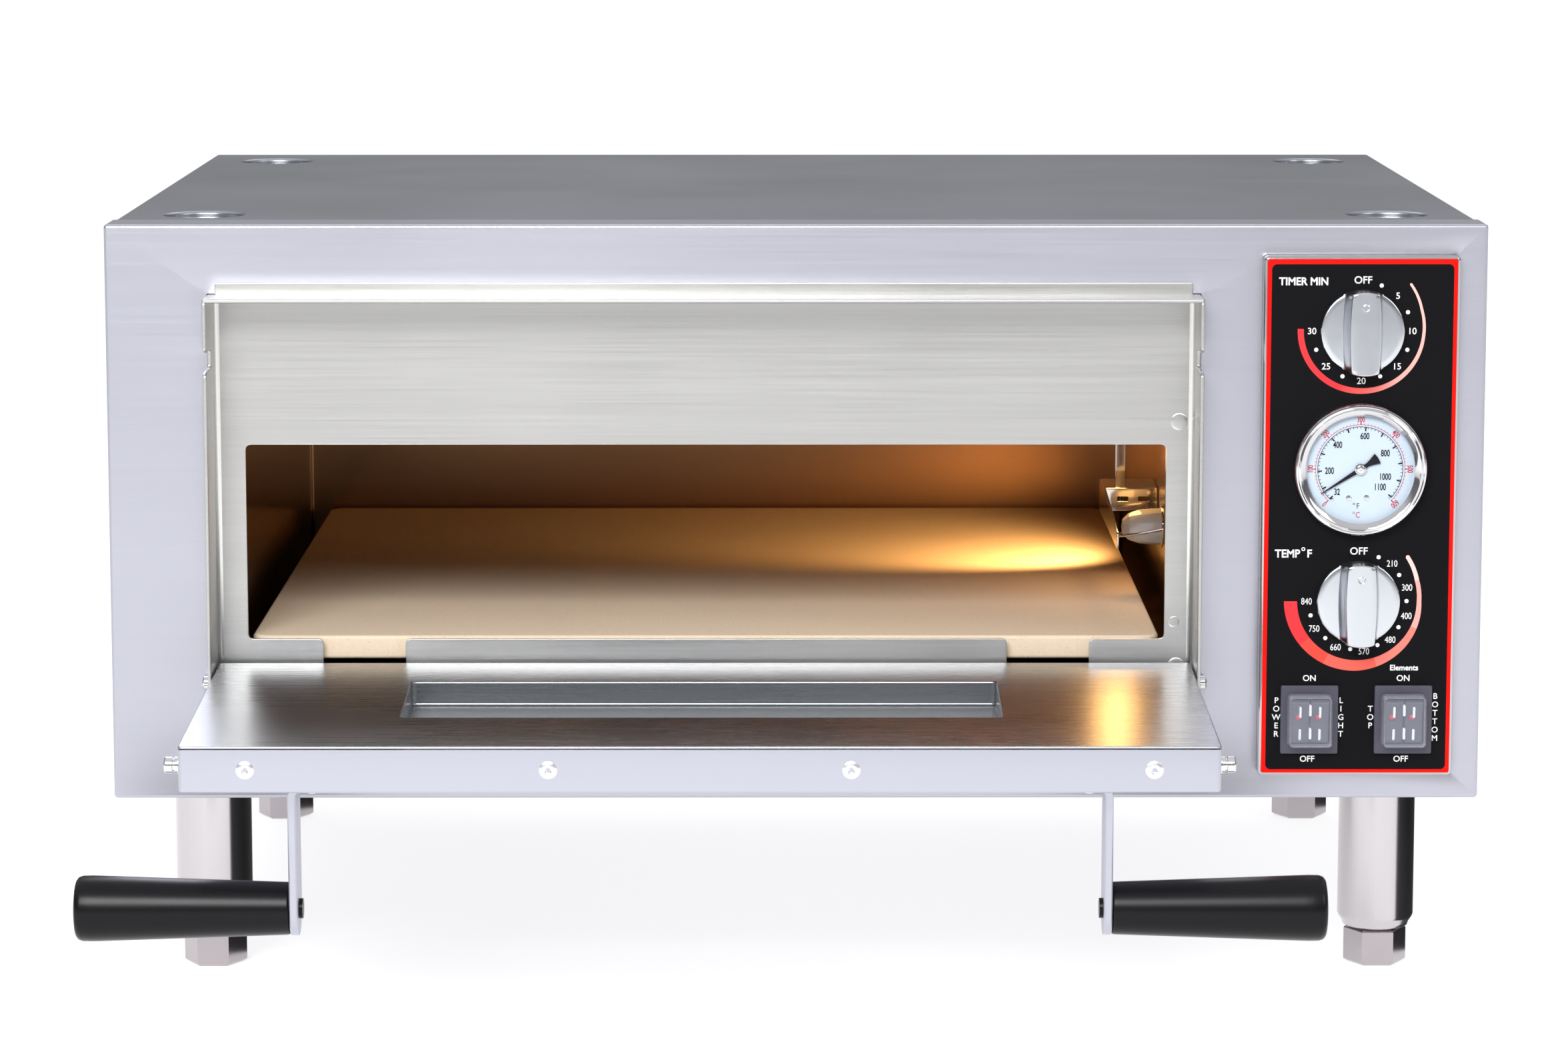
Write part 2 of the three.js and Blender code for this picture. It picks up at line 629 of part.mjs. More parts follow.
// ---------------------------------------------------------------- control plate and controls
function addControls() {
  const boltHole = shaftDiameter + 4;
  const canHole = gaugeCanDiameter + 2 * gap;
  const switchHole = switchBodyMargin - gap;
  const halfSwitch = [switchWidth / 2 - switchHole, switchHeight / 2 - switchHole];
  const holes = (y0, y1) => [
    rod(boltHole, y0, y1, 'y', [controlX, 0, timerZ]),
    rod(boltHole, y0, y1, 'y', [controlX, 0, thermostatZ]),
    rod(canHole, y0, y1, 'y', [controlX, 0, gaugeZ], round),
    ...switchXs.map((x) => box(x - halfSwitch[0], x + halfSwitch[0], y0, y1,
      switchZ - halfSwitch[1], switchZ + halfSwitch[1])),
  ];

  const outline = (inset) => roundedRectangle(controlLeft + inset, controlRight - inset,
    controlBottom + inset, controlTop - inset, controlEdge);
  const pan = new THREE.ExtrudeGeometry(outline(controlEdge), {
    depth: controlProud - controlEdge - lapGap, bevelEnabled: true, bevelThickness: controlEdge,
    bevelSize: controlEdge, bevelSegments: 2, curveSegments: 3,
  }).rotateX(Math.PI / 2).translate(0, -lapGap, 0);
  const hollow = box(controlLeft + controlSheet, controlRight - controlSheet,
    plateFront + controlSheet, controlEdge, controlBottom + controlSheet, controlTop - controlSheet);
  const behind = box(controlLeft - 1, controlRight + 1, -lapGap, 2 * controlEdge,
    controlBottom - 1, controlTop + 1);
  const through = holes(plateFront - 1, controlEdge);
  piece(oven, 'control_plate', made([pan], [hollow, behind, ...through]), 'brushed');

  const face = roundedRectangle(controlLeft + labelMargin, controlRight - labelMargin,
    controlBottom + labelMargin, controlTop - labelMargin, 1);
  const label = made([plateXZ(face, labelFront, plateFront)], holes(labelFront - 1, plateFront + 1));
  piece(oven, 'control_label', label, 'label');

  const bodyFront = plateFront + controlSheet + gap;
  const half = controlBodySize / 2;
  const dials = [['timer', timerZ, timerBodyDepth], ['thermostat', thermostatZ, thermostatBodyDepth]];
  for (const [name, z, depth] of dials) {
    const body = made([
      box(controlX - half, controlX + half, bodyFront, bodyFront + depth, z - half, z + half),
      rod(shaftDiameter, plateFront - shaftLength, bodyFront + 1, 'y', [controlX, 0, z]),
    ]);
    piece(oven, `${name}_body`, body, 'zinc');

    const back = labelFront - gap;
    const frontFace = back - knobHeight;
    const radius = knobDiameter / 2;
    const skirtFront = back - knobSkirt;
    const skirt = turned([[0, skirtFront], [radius - 1, skirtFront], [radius, skirtFront + 1], [radius, back],
      [0, back]], 'y', [controlX, 0, z]);
    const bar = plateXZ(roundedRectangle(controlX - knobBarWidth / 2, controlX + knobBarWidth / 2,
      z - radius + 0.5, z + radius - 0.5, knobBarWidth / 3), frontFace, back - 1);
    const bore = rod(shaftDiameter + 2 * gap, plateFront - shaftLength - gap, back + 1, 'y',
      [controlX, 0, z]);
    piece(oven, `${name}_knob`, made([skirt, bar], [bore]), 'satin');
  }

  addGauge();
  switchXs.forEach((x, i) => addSwitch(x, i));
}

function addGauge() {
  const centre = [controlX, 0, gaugeZ];
  const back = labelFront - gap;
  const front = back - bezelProud;
  const bezel = bezelDiameter / 2;
  const can = gaugeCanDiameter / 2;
  const seat = can - gaugeWall;
  const view = dialDiameter / 2;
  const canBack = back + gaugeCanDepth;
  const ledge = back - 0.5;
  const caseProfile = [
    [0, canBack], [0, canBack - gaugeWall], [view - 1, canBack - gaugeWall], [view - 1, ledge], [seat, ledge],
    [seat, front + 1], [view, front + 1], [view, front], [bezel - 2, front], [bezel, front + 2.5],
    [bezel, back], [can, back], [can, canBack], [0, canBack],
  ];
  piece(oven, 'gauge_case', turned(caseProfile, 'y', centre), 'chrome');

  const dialFront = ledge - gap - 1;
  const hole = 1.8;
  const dialEdge = seat - gap;
  const dialBack = ledge - gap;
  const dial = [[hole, dialFront], [dialEdge, dialFront], [dialEdge, dialBack], [hole, dialBack],
    [hole, dialFront]];
  piece(oven, 'gauge_dial', turned(dial, 'y', centre), 'dial');

  const lensFront = front + 1 + gap;
  piece(oven, 'gauge_lens', rod(2 * (seat - gap), lensFront, lensFront + 1.2, 'y', centre, round), 'glass');

  // Pointer drawn along +X, then turned to where it rests.
  const blade = new THREE.Shape();
  blade.moveTo(-pointerTail, -3);
  blade.lineTo(0, -1.6);
  blade.lineTo(pointerLength, -0.4);
  blade.lineTo(pointerLength, 0.4);
  blade.lineTo(0, 1.6);
  blade.lineTo(-pointerTail, 3);
  const bladeBack = dialFront - 0.7;
  const pointer = made([
    plateXZ(blade, bladeBack - 0.6, bladeBack),
    rod(pointerHubDiameter, bladeBack - 1.1, bladeBack + 0.3, 'y', [0, 0, 0]),
    rod(2 * (hole - gap), bladeBack - 0.5, canBack - gaugeWall - 4, 'y', [0, 0, 0], 12),
  ]);
  pointer.rotateY(-pointerRestAngle * radians).translate(...centre);
  piece(oven, 'gauge_pointer', pointer, 'pointer');
}

// Sealed double rocker switch. Both rockers rest with their lower half pressed, which is OFF.
function addSwitch(x, index) {
  const kind = ['power_switch', 'element_switch'][index];
  const rockerNames = [
    ['power_rocker', 'light_rocker'],
    ['top_element_rocker', 'bottom_element_rocker'],
  ][index];
  const frameBackY = labelFront - gap;
  const frameFront = frameBackY - switchFrame;
  const inside = [coverWidth / 2 - coverWall - gap, coverHeight / 2 - coverWall - gap / 2];
  const bodyHalf = [switchWidth / 2 - switchBodyMargin, switchHeight / 2 - switchBodyMargin];
  const pivotDepth = frameBackY + 1;
  const housing = made(
    [
      box(x - switchWidth / 2, x + switchWidth / 2, frameFront, frameBackY, switchZ - switchHeight / 2,
        switchZ + switchHeight / 2),
      box(x - bodyHalf[0], x + bodyHalf[0], frameFront + 1, frameBackY + switchBodyDepth,
        switchZ - bodyHalf[1], switchZ + bodyHalf[1]),
    ],
    [box(x - inside[0], x + inside[0], frameFront - 1, pivotDepth + 9,
      switchZ - inside[1], switchZ + inside[1])],
  );
  piece(oven, `${kind}_housing`, housing, 'switchBlack');

  const coverBack = frameFront - gap;
  const shell = made(
    [box(x - coverWidth / 2, x + coverWidth / 2, coverBack - coverProud, coverBack, switchZ - coverHeight / 2,
      switchZ + coverHeight / 2)],
    [box(x - coverWidth / 2 + coverWall, x + coverWidth / 2 - coverWall, coverBack - coverProud + coverWall,
      coverBack + 1, switchZ - coverHeight / 2 + coverWall, switchZ + coverHeight / 2 - coverWall)],
  );
  piece(oven, `${kind}_cover`, shell, 'glass');

  const rockerWidth = inside[0] - 2 * rockerClearance;
  rockerNames.forEach((name, side) => {
    const x0 = side === 0 ? -rockerWidth - rockerClearance : rockerClearance;
    const profile = new THREE.Shape(); // y forwards is negative, z up, pivot at the origin
    profile.moveTo(-rockerDepth, -rockerHeight / 2);
    profile.lineTo(-rockerDepth + 1.2, 0);
    profile.lineTo(-rockerDepth, rockerHeight / 2);
    profile.lineTo(-1, rockerHeight / 2);
    profile.lineTo(4, 2.5);
    profile.lineTo(4, -2.5);
    profile.lineTo(-1, -rockerHeight / 2);
    const rocker = plateYZ(profile, x0, x0 + rockerWidth).rotateX(rockerTilt * radians);
    piece(oven, name, rocker.translate(x, pivotDepth, switchZ), 'switchBlack');
  });
}

// ---------------------------------------------------------------- supply entry at the back
function addSupply() {
  const at = [halfWidth - glandFromRight, 0, baseZ + glandAboveBase];
  const outside = bodyDepth - sheet - lapGap + gap;
  const [thread, nut, bore] = [glandThread / 2, glandNut / 2, glandBore / 2];
  const end = bodyDepth + glandProud;
  const profile = [
    [bore, outside - 14], [thread, outside - 14], [thread, outside], [nut, outside], [nut, outside + 6],
    [nut - 2, outside + 6.5], [nut - 2, end - 4], [bore + 2, end], [bore, end], [bore, outside - 14],
  ];
  piece(oven, 'cable_gland', turned(profile, 'y', at, 24), 'nylon');
}

// ---------------------------------------------------------------- door
// Drawn closed, with its pivot at the origin, then turned open about x.
function addDoor() {
  const door = new THREE.Group();
  const half = doorWidth / 2;
  const bottom = -pivotFromHingeEdge;
  const panelBack = doorInner - sheet;
  const shellBack = panelBack - gap;
  const windowBottom = bottom + windowFromHingeEdge;
  const windowTop = doorTop - windowFromFreeEdge;
  const windowHole = (grow, y0, y1) => {
    const side = windowWidth / 2 + grow;
    return plateXZ(roundedRectangle(-side, side, windowBottom - grow, windowTop + grow,
      windowRadius + grow), y0, y1);
  };
  const pinHoles = (diameter, y, z) => rod(diameter + 2 * gap, -half - 1, half + 1, 'x', [0, y, z]);
  const latchY = doorInner - doorThickness / 2;

  const shell = made(
    [box(-half, half, doorOuter, shellBack, bottom, doorTop)],
    [
      box(-half + sheet, half - sheet, doorOuter + sheet, shellBack + 1, bottom + sheet, doorTop - sheet),
      windowHole(0, doorOuter - 1, doorOuter + 2 * sheet),
      pinHoles(pivotPinDiameter, 0, 0),
      pinHoles(latchPinDiameter, latchY, latchZ),
    ],
  );
  piece(door, 'door_outer_shell', shell, 'doorSteel');

  const glassInner = doorInner - windowRecess - gap;
  const panel = made(
    [
      box(-half, half, panelBack, doorInner, bottom, doorTop),
      windowHole(sheet, glassInner + gap, doorInner - sheet / 2),
    ],
    [windowHole(0, glassInner - 1, doorInner + 1)],
  );
  piece(door, 'door_inner_panel', panel, 'doorSteel');

  const glass = plateXZ(roundedRectangle(-windowWidth / 2 - glassLap, windowWidth / 2 + glassLap,
    windowBottom - glassLap, windowTop + glassLap, windowRadius), glassInner - glassThickness, glassInner);
  piece(door, 'door_glass', glass, 'glass');

  const handleZ = doorTop - handleFromFreeEdge;
  const handleY = doorOuter - handleStandoff;
  const bracketOuter = handleSpan / 2;
  const pinEnd = half + doorSideGap + baySheet + pinProud;
  for (const [name, side] of [['left', -1], ['right', 1]]) {
    const across = (a, b) => [side * a, side * b].sort((p, q) => p - q);

    const arm = new THREE.Shape();
    arm.moveTo(doorOuter - gap, handleZ + bracketWidth / 2);
    arm.lineTo(handleY, handleZ + bracketWidth / 2);
    arm.absarc(handleY, handleZ, bracketWidth / 2, Math.PI / 2, 1.5 * Math.PI);
    arm.lineTo(doorOuter - gap, handleZ - bracketWidth / 2);
    const foot = box(...across(bracketOuter - bracketFoot, bracketOuter), doorOuter - gap - bracketThickness,
      doorOuter - gap, handleZ - bracketWidth / 2, handleZ + bracketWidth / 2);
    const bracket = made([plateYZ(arm, ...across(bracketOuter - bracketThickness, bracketOuter)), foot],
      [rod(gripStud + 2 * gap, -half, half, 'x', [0, handleY, handleZ])]);
    piece(door, `${name}_handle_bracket`, bracket, 'doorSteel');

    const gripStart = bracketOuter + gap;
    const gripEnd = gripStart + gripLength;
    const [thin, thick, stud] = [gripSmallDiameter / 2, gripLargeDiameter / 2, gripStud / 2];
    const grip = [
      [0, gripStart - bracketThickness - 2], [stud, gripStart - bracketThickness - 2], [stud, gripStart],
      [thin, gripStart], [thick, gripEnd - 10], [thick - 1, gripEnd - 4], [thick - 6, gripEnd], [0, gripEnd],
    ].map(([radius, along]) => [radius, side * along]);
    if (side < 0) grip.reverse();
    piece(door, `${name}_grip`, turned(grip, 'x', [0, handleY, handleZ], 28), 'black');

    const pin = (diameter, y, z) => rod(diameter, ...across(half - pinInDoor, pinEnd), 'x', [0, y, z]);
    piece(door, `${name}_pivot_pin`, pin(pivotPinDiameter, 0, 0), 'zinc');
    piece(door, `${name}_latch_pin`, pin(latchPinDiameter, latchY, latchZ), 'zinc');
  }

  door.position.set(bayCentre, pivotY, pivotZ);
  door.rotation.x = doorOpenAngle * radians;
  oven.add(door);
}

addCasing();
addLegs();
addDoorFrame();
addChamber();
addControls();
addSupply();
addDoor();

// The box runs from the open door's free edge to the end of the cable gland.
oven.updateMatrixWorld(true);
const extent = new THREE.Box3().setFromObject(oven, true);
oven.position.y = -(extent.min.y + extent.max.y) / 2;
oven.updateMatrixWorld(true);

export default oven;
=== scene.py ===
"""Visual model of a countertop deck oven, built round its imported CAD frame.

Lengths are in millimetres in the oven's own layout: x = 0 at the middle of the casing, y = 0 at the
front of the fascia, z = 0 at the floor.
"""

import json
import math

import bmesh
import bpy
import numpy as np
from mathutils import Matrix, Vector
from mathutils.geometry import delaunay_2d_cdt


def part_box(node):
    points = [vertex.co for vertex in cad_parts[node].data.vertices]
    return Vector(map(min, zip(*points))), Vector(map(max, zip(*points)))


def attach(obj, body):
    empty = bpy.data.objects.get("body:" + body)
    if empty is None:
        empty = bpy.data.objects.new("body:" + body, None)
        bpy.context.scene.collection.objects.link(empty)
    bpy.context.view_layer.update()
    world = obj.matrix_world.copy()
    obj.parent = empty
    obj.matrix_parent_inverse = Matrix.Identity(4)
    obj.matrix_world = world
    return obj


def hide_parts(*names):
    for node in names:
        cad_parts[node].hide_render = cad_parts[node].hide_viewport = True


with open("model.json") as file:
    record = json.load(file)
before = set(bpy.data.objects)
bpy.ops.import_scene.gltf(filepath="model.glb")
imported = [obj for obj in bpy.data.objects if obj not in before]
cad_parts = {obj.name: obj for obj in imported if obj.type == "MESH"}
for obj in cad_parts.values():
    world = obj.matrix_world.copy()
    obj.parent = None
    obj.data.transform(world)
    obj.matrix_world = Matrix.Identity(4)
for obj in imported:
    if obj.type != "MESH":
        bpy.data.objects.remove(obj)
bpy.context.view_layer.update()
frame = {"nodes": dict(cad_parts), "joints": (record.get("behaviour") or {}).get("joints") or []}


MM = 0.001
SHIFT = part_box("front_fascia")[0].y / MM
JOINTS = {joint["name"]: joint for joint in frame["joints"]}
NODES = frame["nodes"]
BODY = "oven_body"
WELD, SLIVER = 2e-6, 1e-6


# ------------------------------------------------------------------ camera
FOCAL, SENSOR, CLIP_END = 114.84, 36.0, 100.0
CAMERA_X, CAMERA_AHEAD, CAMERA_Z = -0.01104, 2521.8, 0.6125
DOWN, ASIDE = 8.2538, -0.1112


def add_camera():
    """A long lens, a little above the oven and looking slightly down."""
    lens = bpy.data.cameras.new("camera")
    lens.sensor_width = SENSOR
    lens.lens = FOCAL
    lens.clip_end = CLIP_END
    camera = bpy.data.objects.new("camera", lens)
    camera.location = (CAMERA_X, (SHIFT - CAMERA_AHEAD) * MM, CAMERA_Z)
    camera.rotation_euler = (math.radians(90 - DOWN), 0.0, math.radians(ASIDE))
    bpy.context.scene.collection.objects.link(camera)
    bpy.context.scene.camera = camera


add_camera()


# ------------------------------------------------------------------ flat outlines
def arc(centre, radius, start, stop, steps):
    """Points on a circle about centre, from one angle to another in degrees."""
    turn = np.radians(np.linspace(start, stop, steps + 1))
    return np.array(centre) + radius * np.column_stack([np.cos(turn), np.sin(turn)])


def circle(centre, radius, sides):
    """Closed anticlockwise circle."""
    return arc(centre, radius, 0, 360, sides)[:-1]


def rounded(u0, u1, v0, v1, radius, steps=6):
    """Closed anticlockwise rectangle whose corners are quarter circles."""
    corners = [(u1 - radius, v0 + radius, -90), (u1 - radius, v1 - radius, 0),
               (u0 + radius, v1 - radius, 90), (u0 + radius, v0 + radius, 180)]
    return np.vstack([arc((u, v), radius, a, a + 90, steps) for u, v, a in corners])


def centred(u, v, half_u, half_v, radius, steps=6):
    """Rounded rectangle about a centre."""
    return rounded(u - half_u, u + half_u, v - half_v, v + half_v, radius, steps)


def softened(corners, radius, steps=4):
    """Closed polygon with each corner cut by a curve that is tangent to both of its sides:
    the quadratic curve (1-t)^2 a + 2t(1-t) corner + t^2 b."""
    corners = np.asarray(corners, float)
    t = np.linspace(0, 1, steps + 1)[:, None]
    loops = []
    for before, corner, after in zip(np.roll(corners, 1, 0), corners, np.roll(corners, -1, 0)):
        a = corner + (before - corner) * min(radius / np.linalg.norm(before - corner), 0.49)
        b = corner + (after - corner) * min(radius / np.linalg.norm(after - corner), 0.49)
        loops.append((1 - t) ** 2 * a + 2 * t * (1 - t) * corner + t ** 2 * b)
    return np.vstack(loops)


def inset(loop, distance):
    """Loop moved to its left by distance, with mitred corners: p + d (n1 + n2) / (1 + n1.n2)."""
    edge = np.roll(loop, -1, 0) - loop
    edge /= np.maximum(np.linalg.norm(edge, axis=1), 1e-9)[:, None]
    after = np.column_stack([-edge[:, 1], edge[:, 0]])
    before = np.roll(after, 1, 0)
    share = np.maximum(1 + (before * after).sum(1), 0.3)
    return loop + distance * (before + after) / share[:, None]


def fill(loops):
    """Triangles between loops (outer anticlockwise, holes clockwise): a constrained Delaunay
    triangulation that keeps the triangles whose centre is inside an odd number of loops."""
    points = np.vstack(loops)
    sizes = [len(loop) for loop in loops]
    starts = np.cumsum([0] + sizes[:-1])
    edges = [(s + i, s + (i + 1) % n) for s, n in zip(starts, sizes) for i in range(n)]
    middle = points.mean(0)
    found = delaunay_2d_cdt([Vector(p) for p in points - middle], edges, [], 0, 1e-7)
    first = np.array([origin[0] if origin else -1 for origin in found[3]])
    triangles = first[np.array(found[2])]
    if (triangles < 0).any():
        places = [tuple(found[0][i]) for i in np.flatnonzero(first < 0)[:4]]
        raise ValueError(f"an outline crosses itself near {places}")
    centre = points[triangles].mean(1)
    crossings = np.zeros(len(centre), int)
    for loop in loops:
        a, b = loop, np.roll(loop, -1, 0)
        high = (a[:, 1] > centre[:, 1:2]) != (b[:, 1] > centre[:, 1:2])
        rise = np.where(b[:, 1] == a[:, 1], 1e-12, b[:, 1] - a[:, 1])
        at = a[:, 0] + (centre[:, 1:2] - a[:, 1]) * (b[:, 0] - a[:, 0]) / rise
        crossings += (high & (centre[:, :1] < at)).sum(1)
    return triangles[crossings % 2 == 1]


class Plane:
    """A drawing board in the oven: u across it, v up it, and depth behind its front face."""

    def __init__(self, origin, across, up):
        self.origin, self.across, self.up = (np.array(a, float) for a in (origin, across, up))
        self.front = np.cross(self.across, self.up)

    def at(self, uv, depth=0.0):
        uv = np.asarray(uv, float)
        back = np.asarray(depth, float)[..., None] * self.front
        return self.origin + uv[..., :1] * self.across + uv[..., 1:2] * self.up - back


def front(y=0.0):
    return Plane((0, y, 0), (1, 0, 0), (0, 0, 1))


def rear(y=0.0):
    return Plane((0, y, 0), (-1, 0, 0), (0, 0, 1))


def top(z=0.0):
    return Plane((0, 0, z), (1, 0, 0), (0, 1, 0))


def right(x=0.0):
    return Plane((x, 0, 0), (0, 1, 0), (0, 0, 1))


def left(x=0.0):
    return Plane((x, 0, 0), (0, -1, 0), (0, 0, 1))


# ------------------------------------------------------------------ surfaces
def quads(rings, around, closed=True):
    """Faces of a grid of rings by points, facing out where rings run outwards and points
    anticlockwise. A closed grid joins each ring's last point to its first."""
    span = around if closed else around - 1
    ring, column = np.meshgrid(np.arange(rings - 1), np.arange(span), indexing="ij")
    here = (ring * around + column).ravel()
    beside = (ring * around + (column + 1) % around).ravel()
    return np.column_stack([here, here + around, beside + around, beside])


def roll(radius, depth=0.0, steps=3):
    """Quarter-round profile: (r(1-sin t), d + r(1-cos t)) for t from 0 to 90 degrees."""
    t = np.linspace(0, math.pi / 2, steps + 1)
    return list(zip(radius * (1 - np.sin(t)), depth + radius * (1 - np.cos(t))))


def edge(near, far, near_round=0.3, far_round=0.3, steps=2):
    """Profile of a plate's edge: quarter-round, straight wall, quarter-round."""
    back = [(offset, far - depth) for offset, depth in roll(far_round, 0.0, steps)]
    return roll(near_round, near, steps) + back[::-1]


class Surface:
    """Points in millimetres and the faces between them, gathered shape by shape for one piece."""

    def __init__(self):
        self.points, self.faces, self.looks, self.total = [], [], [], 0

    def add(self, points, *blocks, look=0):
        points = np.asarray(points, float).reshape(-1, 3)
        self.points.append(points)
        for block in blocks:
            block = np.asarray(block, int)
            self.faces += (block + self.total).tolist()
            self.looks += [look] * len(block)
        self.total += len(points)
        return self

    def sheet(self, plane, loops, look=0):
        """Face between loops, carried on past each loop by its profile of (offset, depth):
        offset is towards the sheet's material. A loop is given as (points, profile)."""
        inner = [plane.at(inset(points, profile[0][0]), profile[0][1]) for points, profile in loops]
        flat = [inset(points, profile[0][0]) for points, profile in loops]
        self.add(np.vstack(inner), fill(flat), look=look)
        for points, profile in loops:
            if len(profile) > 1:
                rings = [plane.at(inset(points, offset), depth) for offset, depth in profile]
                self.add(np.concatenate(rings), quads(len(rings), len(points)), look=look)
        return self

    def plate(self, plane, loops, near, far, soft=0.3, soft_far=None, steps=2, look=0):
        """Closed flat plate between two depths, with rounded edges round every loop."""
        soft_far = soft if soft_far is None else soft_far
        profile = edge(near, far, soft, soft_far, steps)
        self.sheet(plane, [(loop, profile) for loop in loops], look=look)
        flat = [inset(loop, profile[-1][0]) for loop in loops]
        return self.add(plane.at(np.vstack(flat), far), fill(flat)[:, ::-1], look=look)

    def turned(self, plane, centre, profile, sides=48, loop=False, look=0, start=0.0):
        """Solid of revolution about the board's normal; profile points are (radius, depth)."""
        profile = np.array(list(profile) + (list(profile[:1]) if loop else []), float)
        turn = math.radians(start) + np.arange(sides) * 2 * math.pi / sides
        ring = np.column_stack([np.cos(turn), np.sin(turn)])
        uv = np.array(centre) + profile[:, None, :1] * ring[None]
        depth = np.repeat(profile[:, 1:], sides, 1)
        return self.add(plane.at(uv, depth), quads(len(profile), sides), look=look)

    def swept(self, path, sections, up=(0, 0, 1), look=0, closed=False):
        """Sections of (side, up) points carried along a path; side = tangent x up."""
        path, sections = np.asarray(path, float), np.asarray(sections, float)
        if sections.ndim == 2:
            sections = np.repeat(sections[None], len(path), 0)
        tangent = np.gradient(path, axis=0)
        if closed:
            tangent = np.roll(path, -1, 0) - np.roll(path, 1, 0)
        side = np.cross(tangent, up)
        side /= np.linalg.norm(side, axis=1)[:, None]
        lift = np.cross(side, tangent)
        lift /= np.linalg.norm(lift, axis=1)[:, None]
        rings = path[:, None] + sections[..., :1] * side[:, None] + sections[..., 1:] * lift[:, None]
        if closed:
            rings = np.concatenate([rings, rings[:1]])
        count, around = len(rings), sections.shape[1]
        caps = [] if closed else [[np.arange(around)], [np.arange(around)[::-1] + (count - 1) * around]]
        return self.add(rings, quads(count, around), *caps, look=look)

    def tube(self, path, radius, sides=12, up=(0, 0, 1), look=0, closed=False):
        """Round wire along a path."""
        return self.swept(path, circle((0, 0), radius, sides), up, look, closed)

    def finish(self, name, looks, slot, body=BODY, replaces=(), wall=0.0, keen=38.0, door=False,
               closed=True):
        """The piece as a Blender object in the frame's metres, riding on its body. Its looks are
        named in the order of the faces' look numbers."""
        points = np.vstack(self.points)
        if door:
            points = opened(points)
        points = (points + (0, SHIFT, 0)) * MM
        mesh = bpy.data.meshes.new(name)
        mesh.from_pydata(points.tolist(), [], self.faces)
        mesh.polygons.foreach_set("material_index", self.looks)
        shape = bmesh.new()
        shape.from_mesh(mesh)
        bmesh.ops.remove_doubles(shape, verts=shape.verts, dist=WELD)
        bmesh.ops.dissolve_degenerate(shape, edges=shape.edges, dist=SLIVER)
        if closed:
            bmesh.ops.recalc_face_normals(shape, faces=shape.faces)
        shape.to_mesh(mesh)
        shape.free()
        for look in looks.split():
            mesh.materials.append(LOOKS[look])
        mesh.polygons.foreach_set("use_smooth", [True] * len(mesh.polygons))
        mesh.set_sharp_from_angle(angle=math.radians(keen))
        piece = bpy.data.objects.new(name, mesh)
        bpy.context.scene.collection.objects.link(piece)
        if wall:
            thick = piece.modifiers.new("wall", "SOLIDIFY")
            thick.thickness = wall * MM
            thick.offset = -1.0
            thick.use_even_offset = True
        even = piece.modifiers.new("even_shading", "WEIGHTED_NORMAL")
        even.keep_sharp = True
        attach(piece, body)
        if replaces:
            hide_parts(*replaces)
        return piece


# ------------------------------------------------------------------ the door's two places
HINGE = JOINTS["door_hinge"]
PIVOT = np.array(HINGE["pos_m"]) / MM - (0, SHIFT, 0)
OPEN = math.radians(HINGE["range_deg"][1])


def opened(points):
    """Points of the closed door, measured from its pivot, turned open about x."""
    x, y, z = points.T
    turned_y = y * math.cos(OPEN) - z * math.sin(OPEN)
    turned_z = y * math.sin(OPEN) + z * math.cos(OPEN)
    return np.column_stack([x, turned_y, turned_z]) + PIVOT


# ------------------------------------------------------------------ shader expressions
class Value:
    """A shader socket that adds Math nodes when it is used in an expression."""

    def __init__(self, look, socket):
        self.look, self.socket = look, socket

    def join(self, operation, first, second=0.0, clamp=False):
        settings = {"operation": operation, "use_clamp": clamp}
        return self.look.node("ShaderNodeMath", settings, {0: first, 1: second})

    def __add__(self, other):
        return self.join("ADD", self, other)

    def __radd__(self, other):
        return self.join("ADD", other, self)

    def __sub__(self, other):
        return self.join("SUBTRACT", self, other)

    def __rsub__(self, other):
        return self.join("SUBTRACT", other, self)

    def __mul__(self, other):
        return self.join("MULTIPLY", self, other)

    def __rmul__(self, other):
        return self.join("MULTIPLY", other, self)

    def __truediv__(self, other):
        return self.join("DIVIDE", self, other)

    def __pow__(self, other):
        return self.join("POWER", self, other)

    def clamped(self):
        return self.join("ADD", self, 0.0, clamp=True)


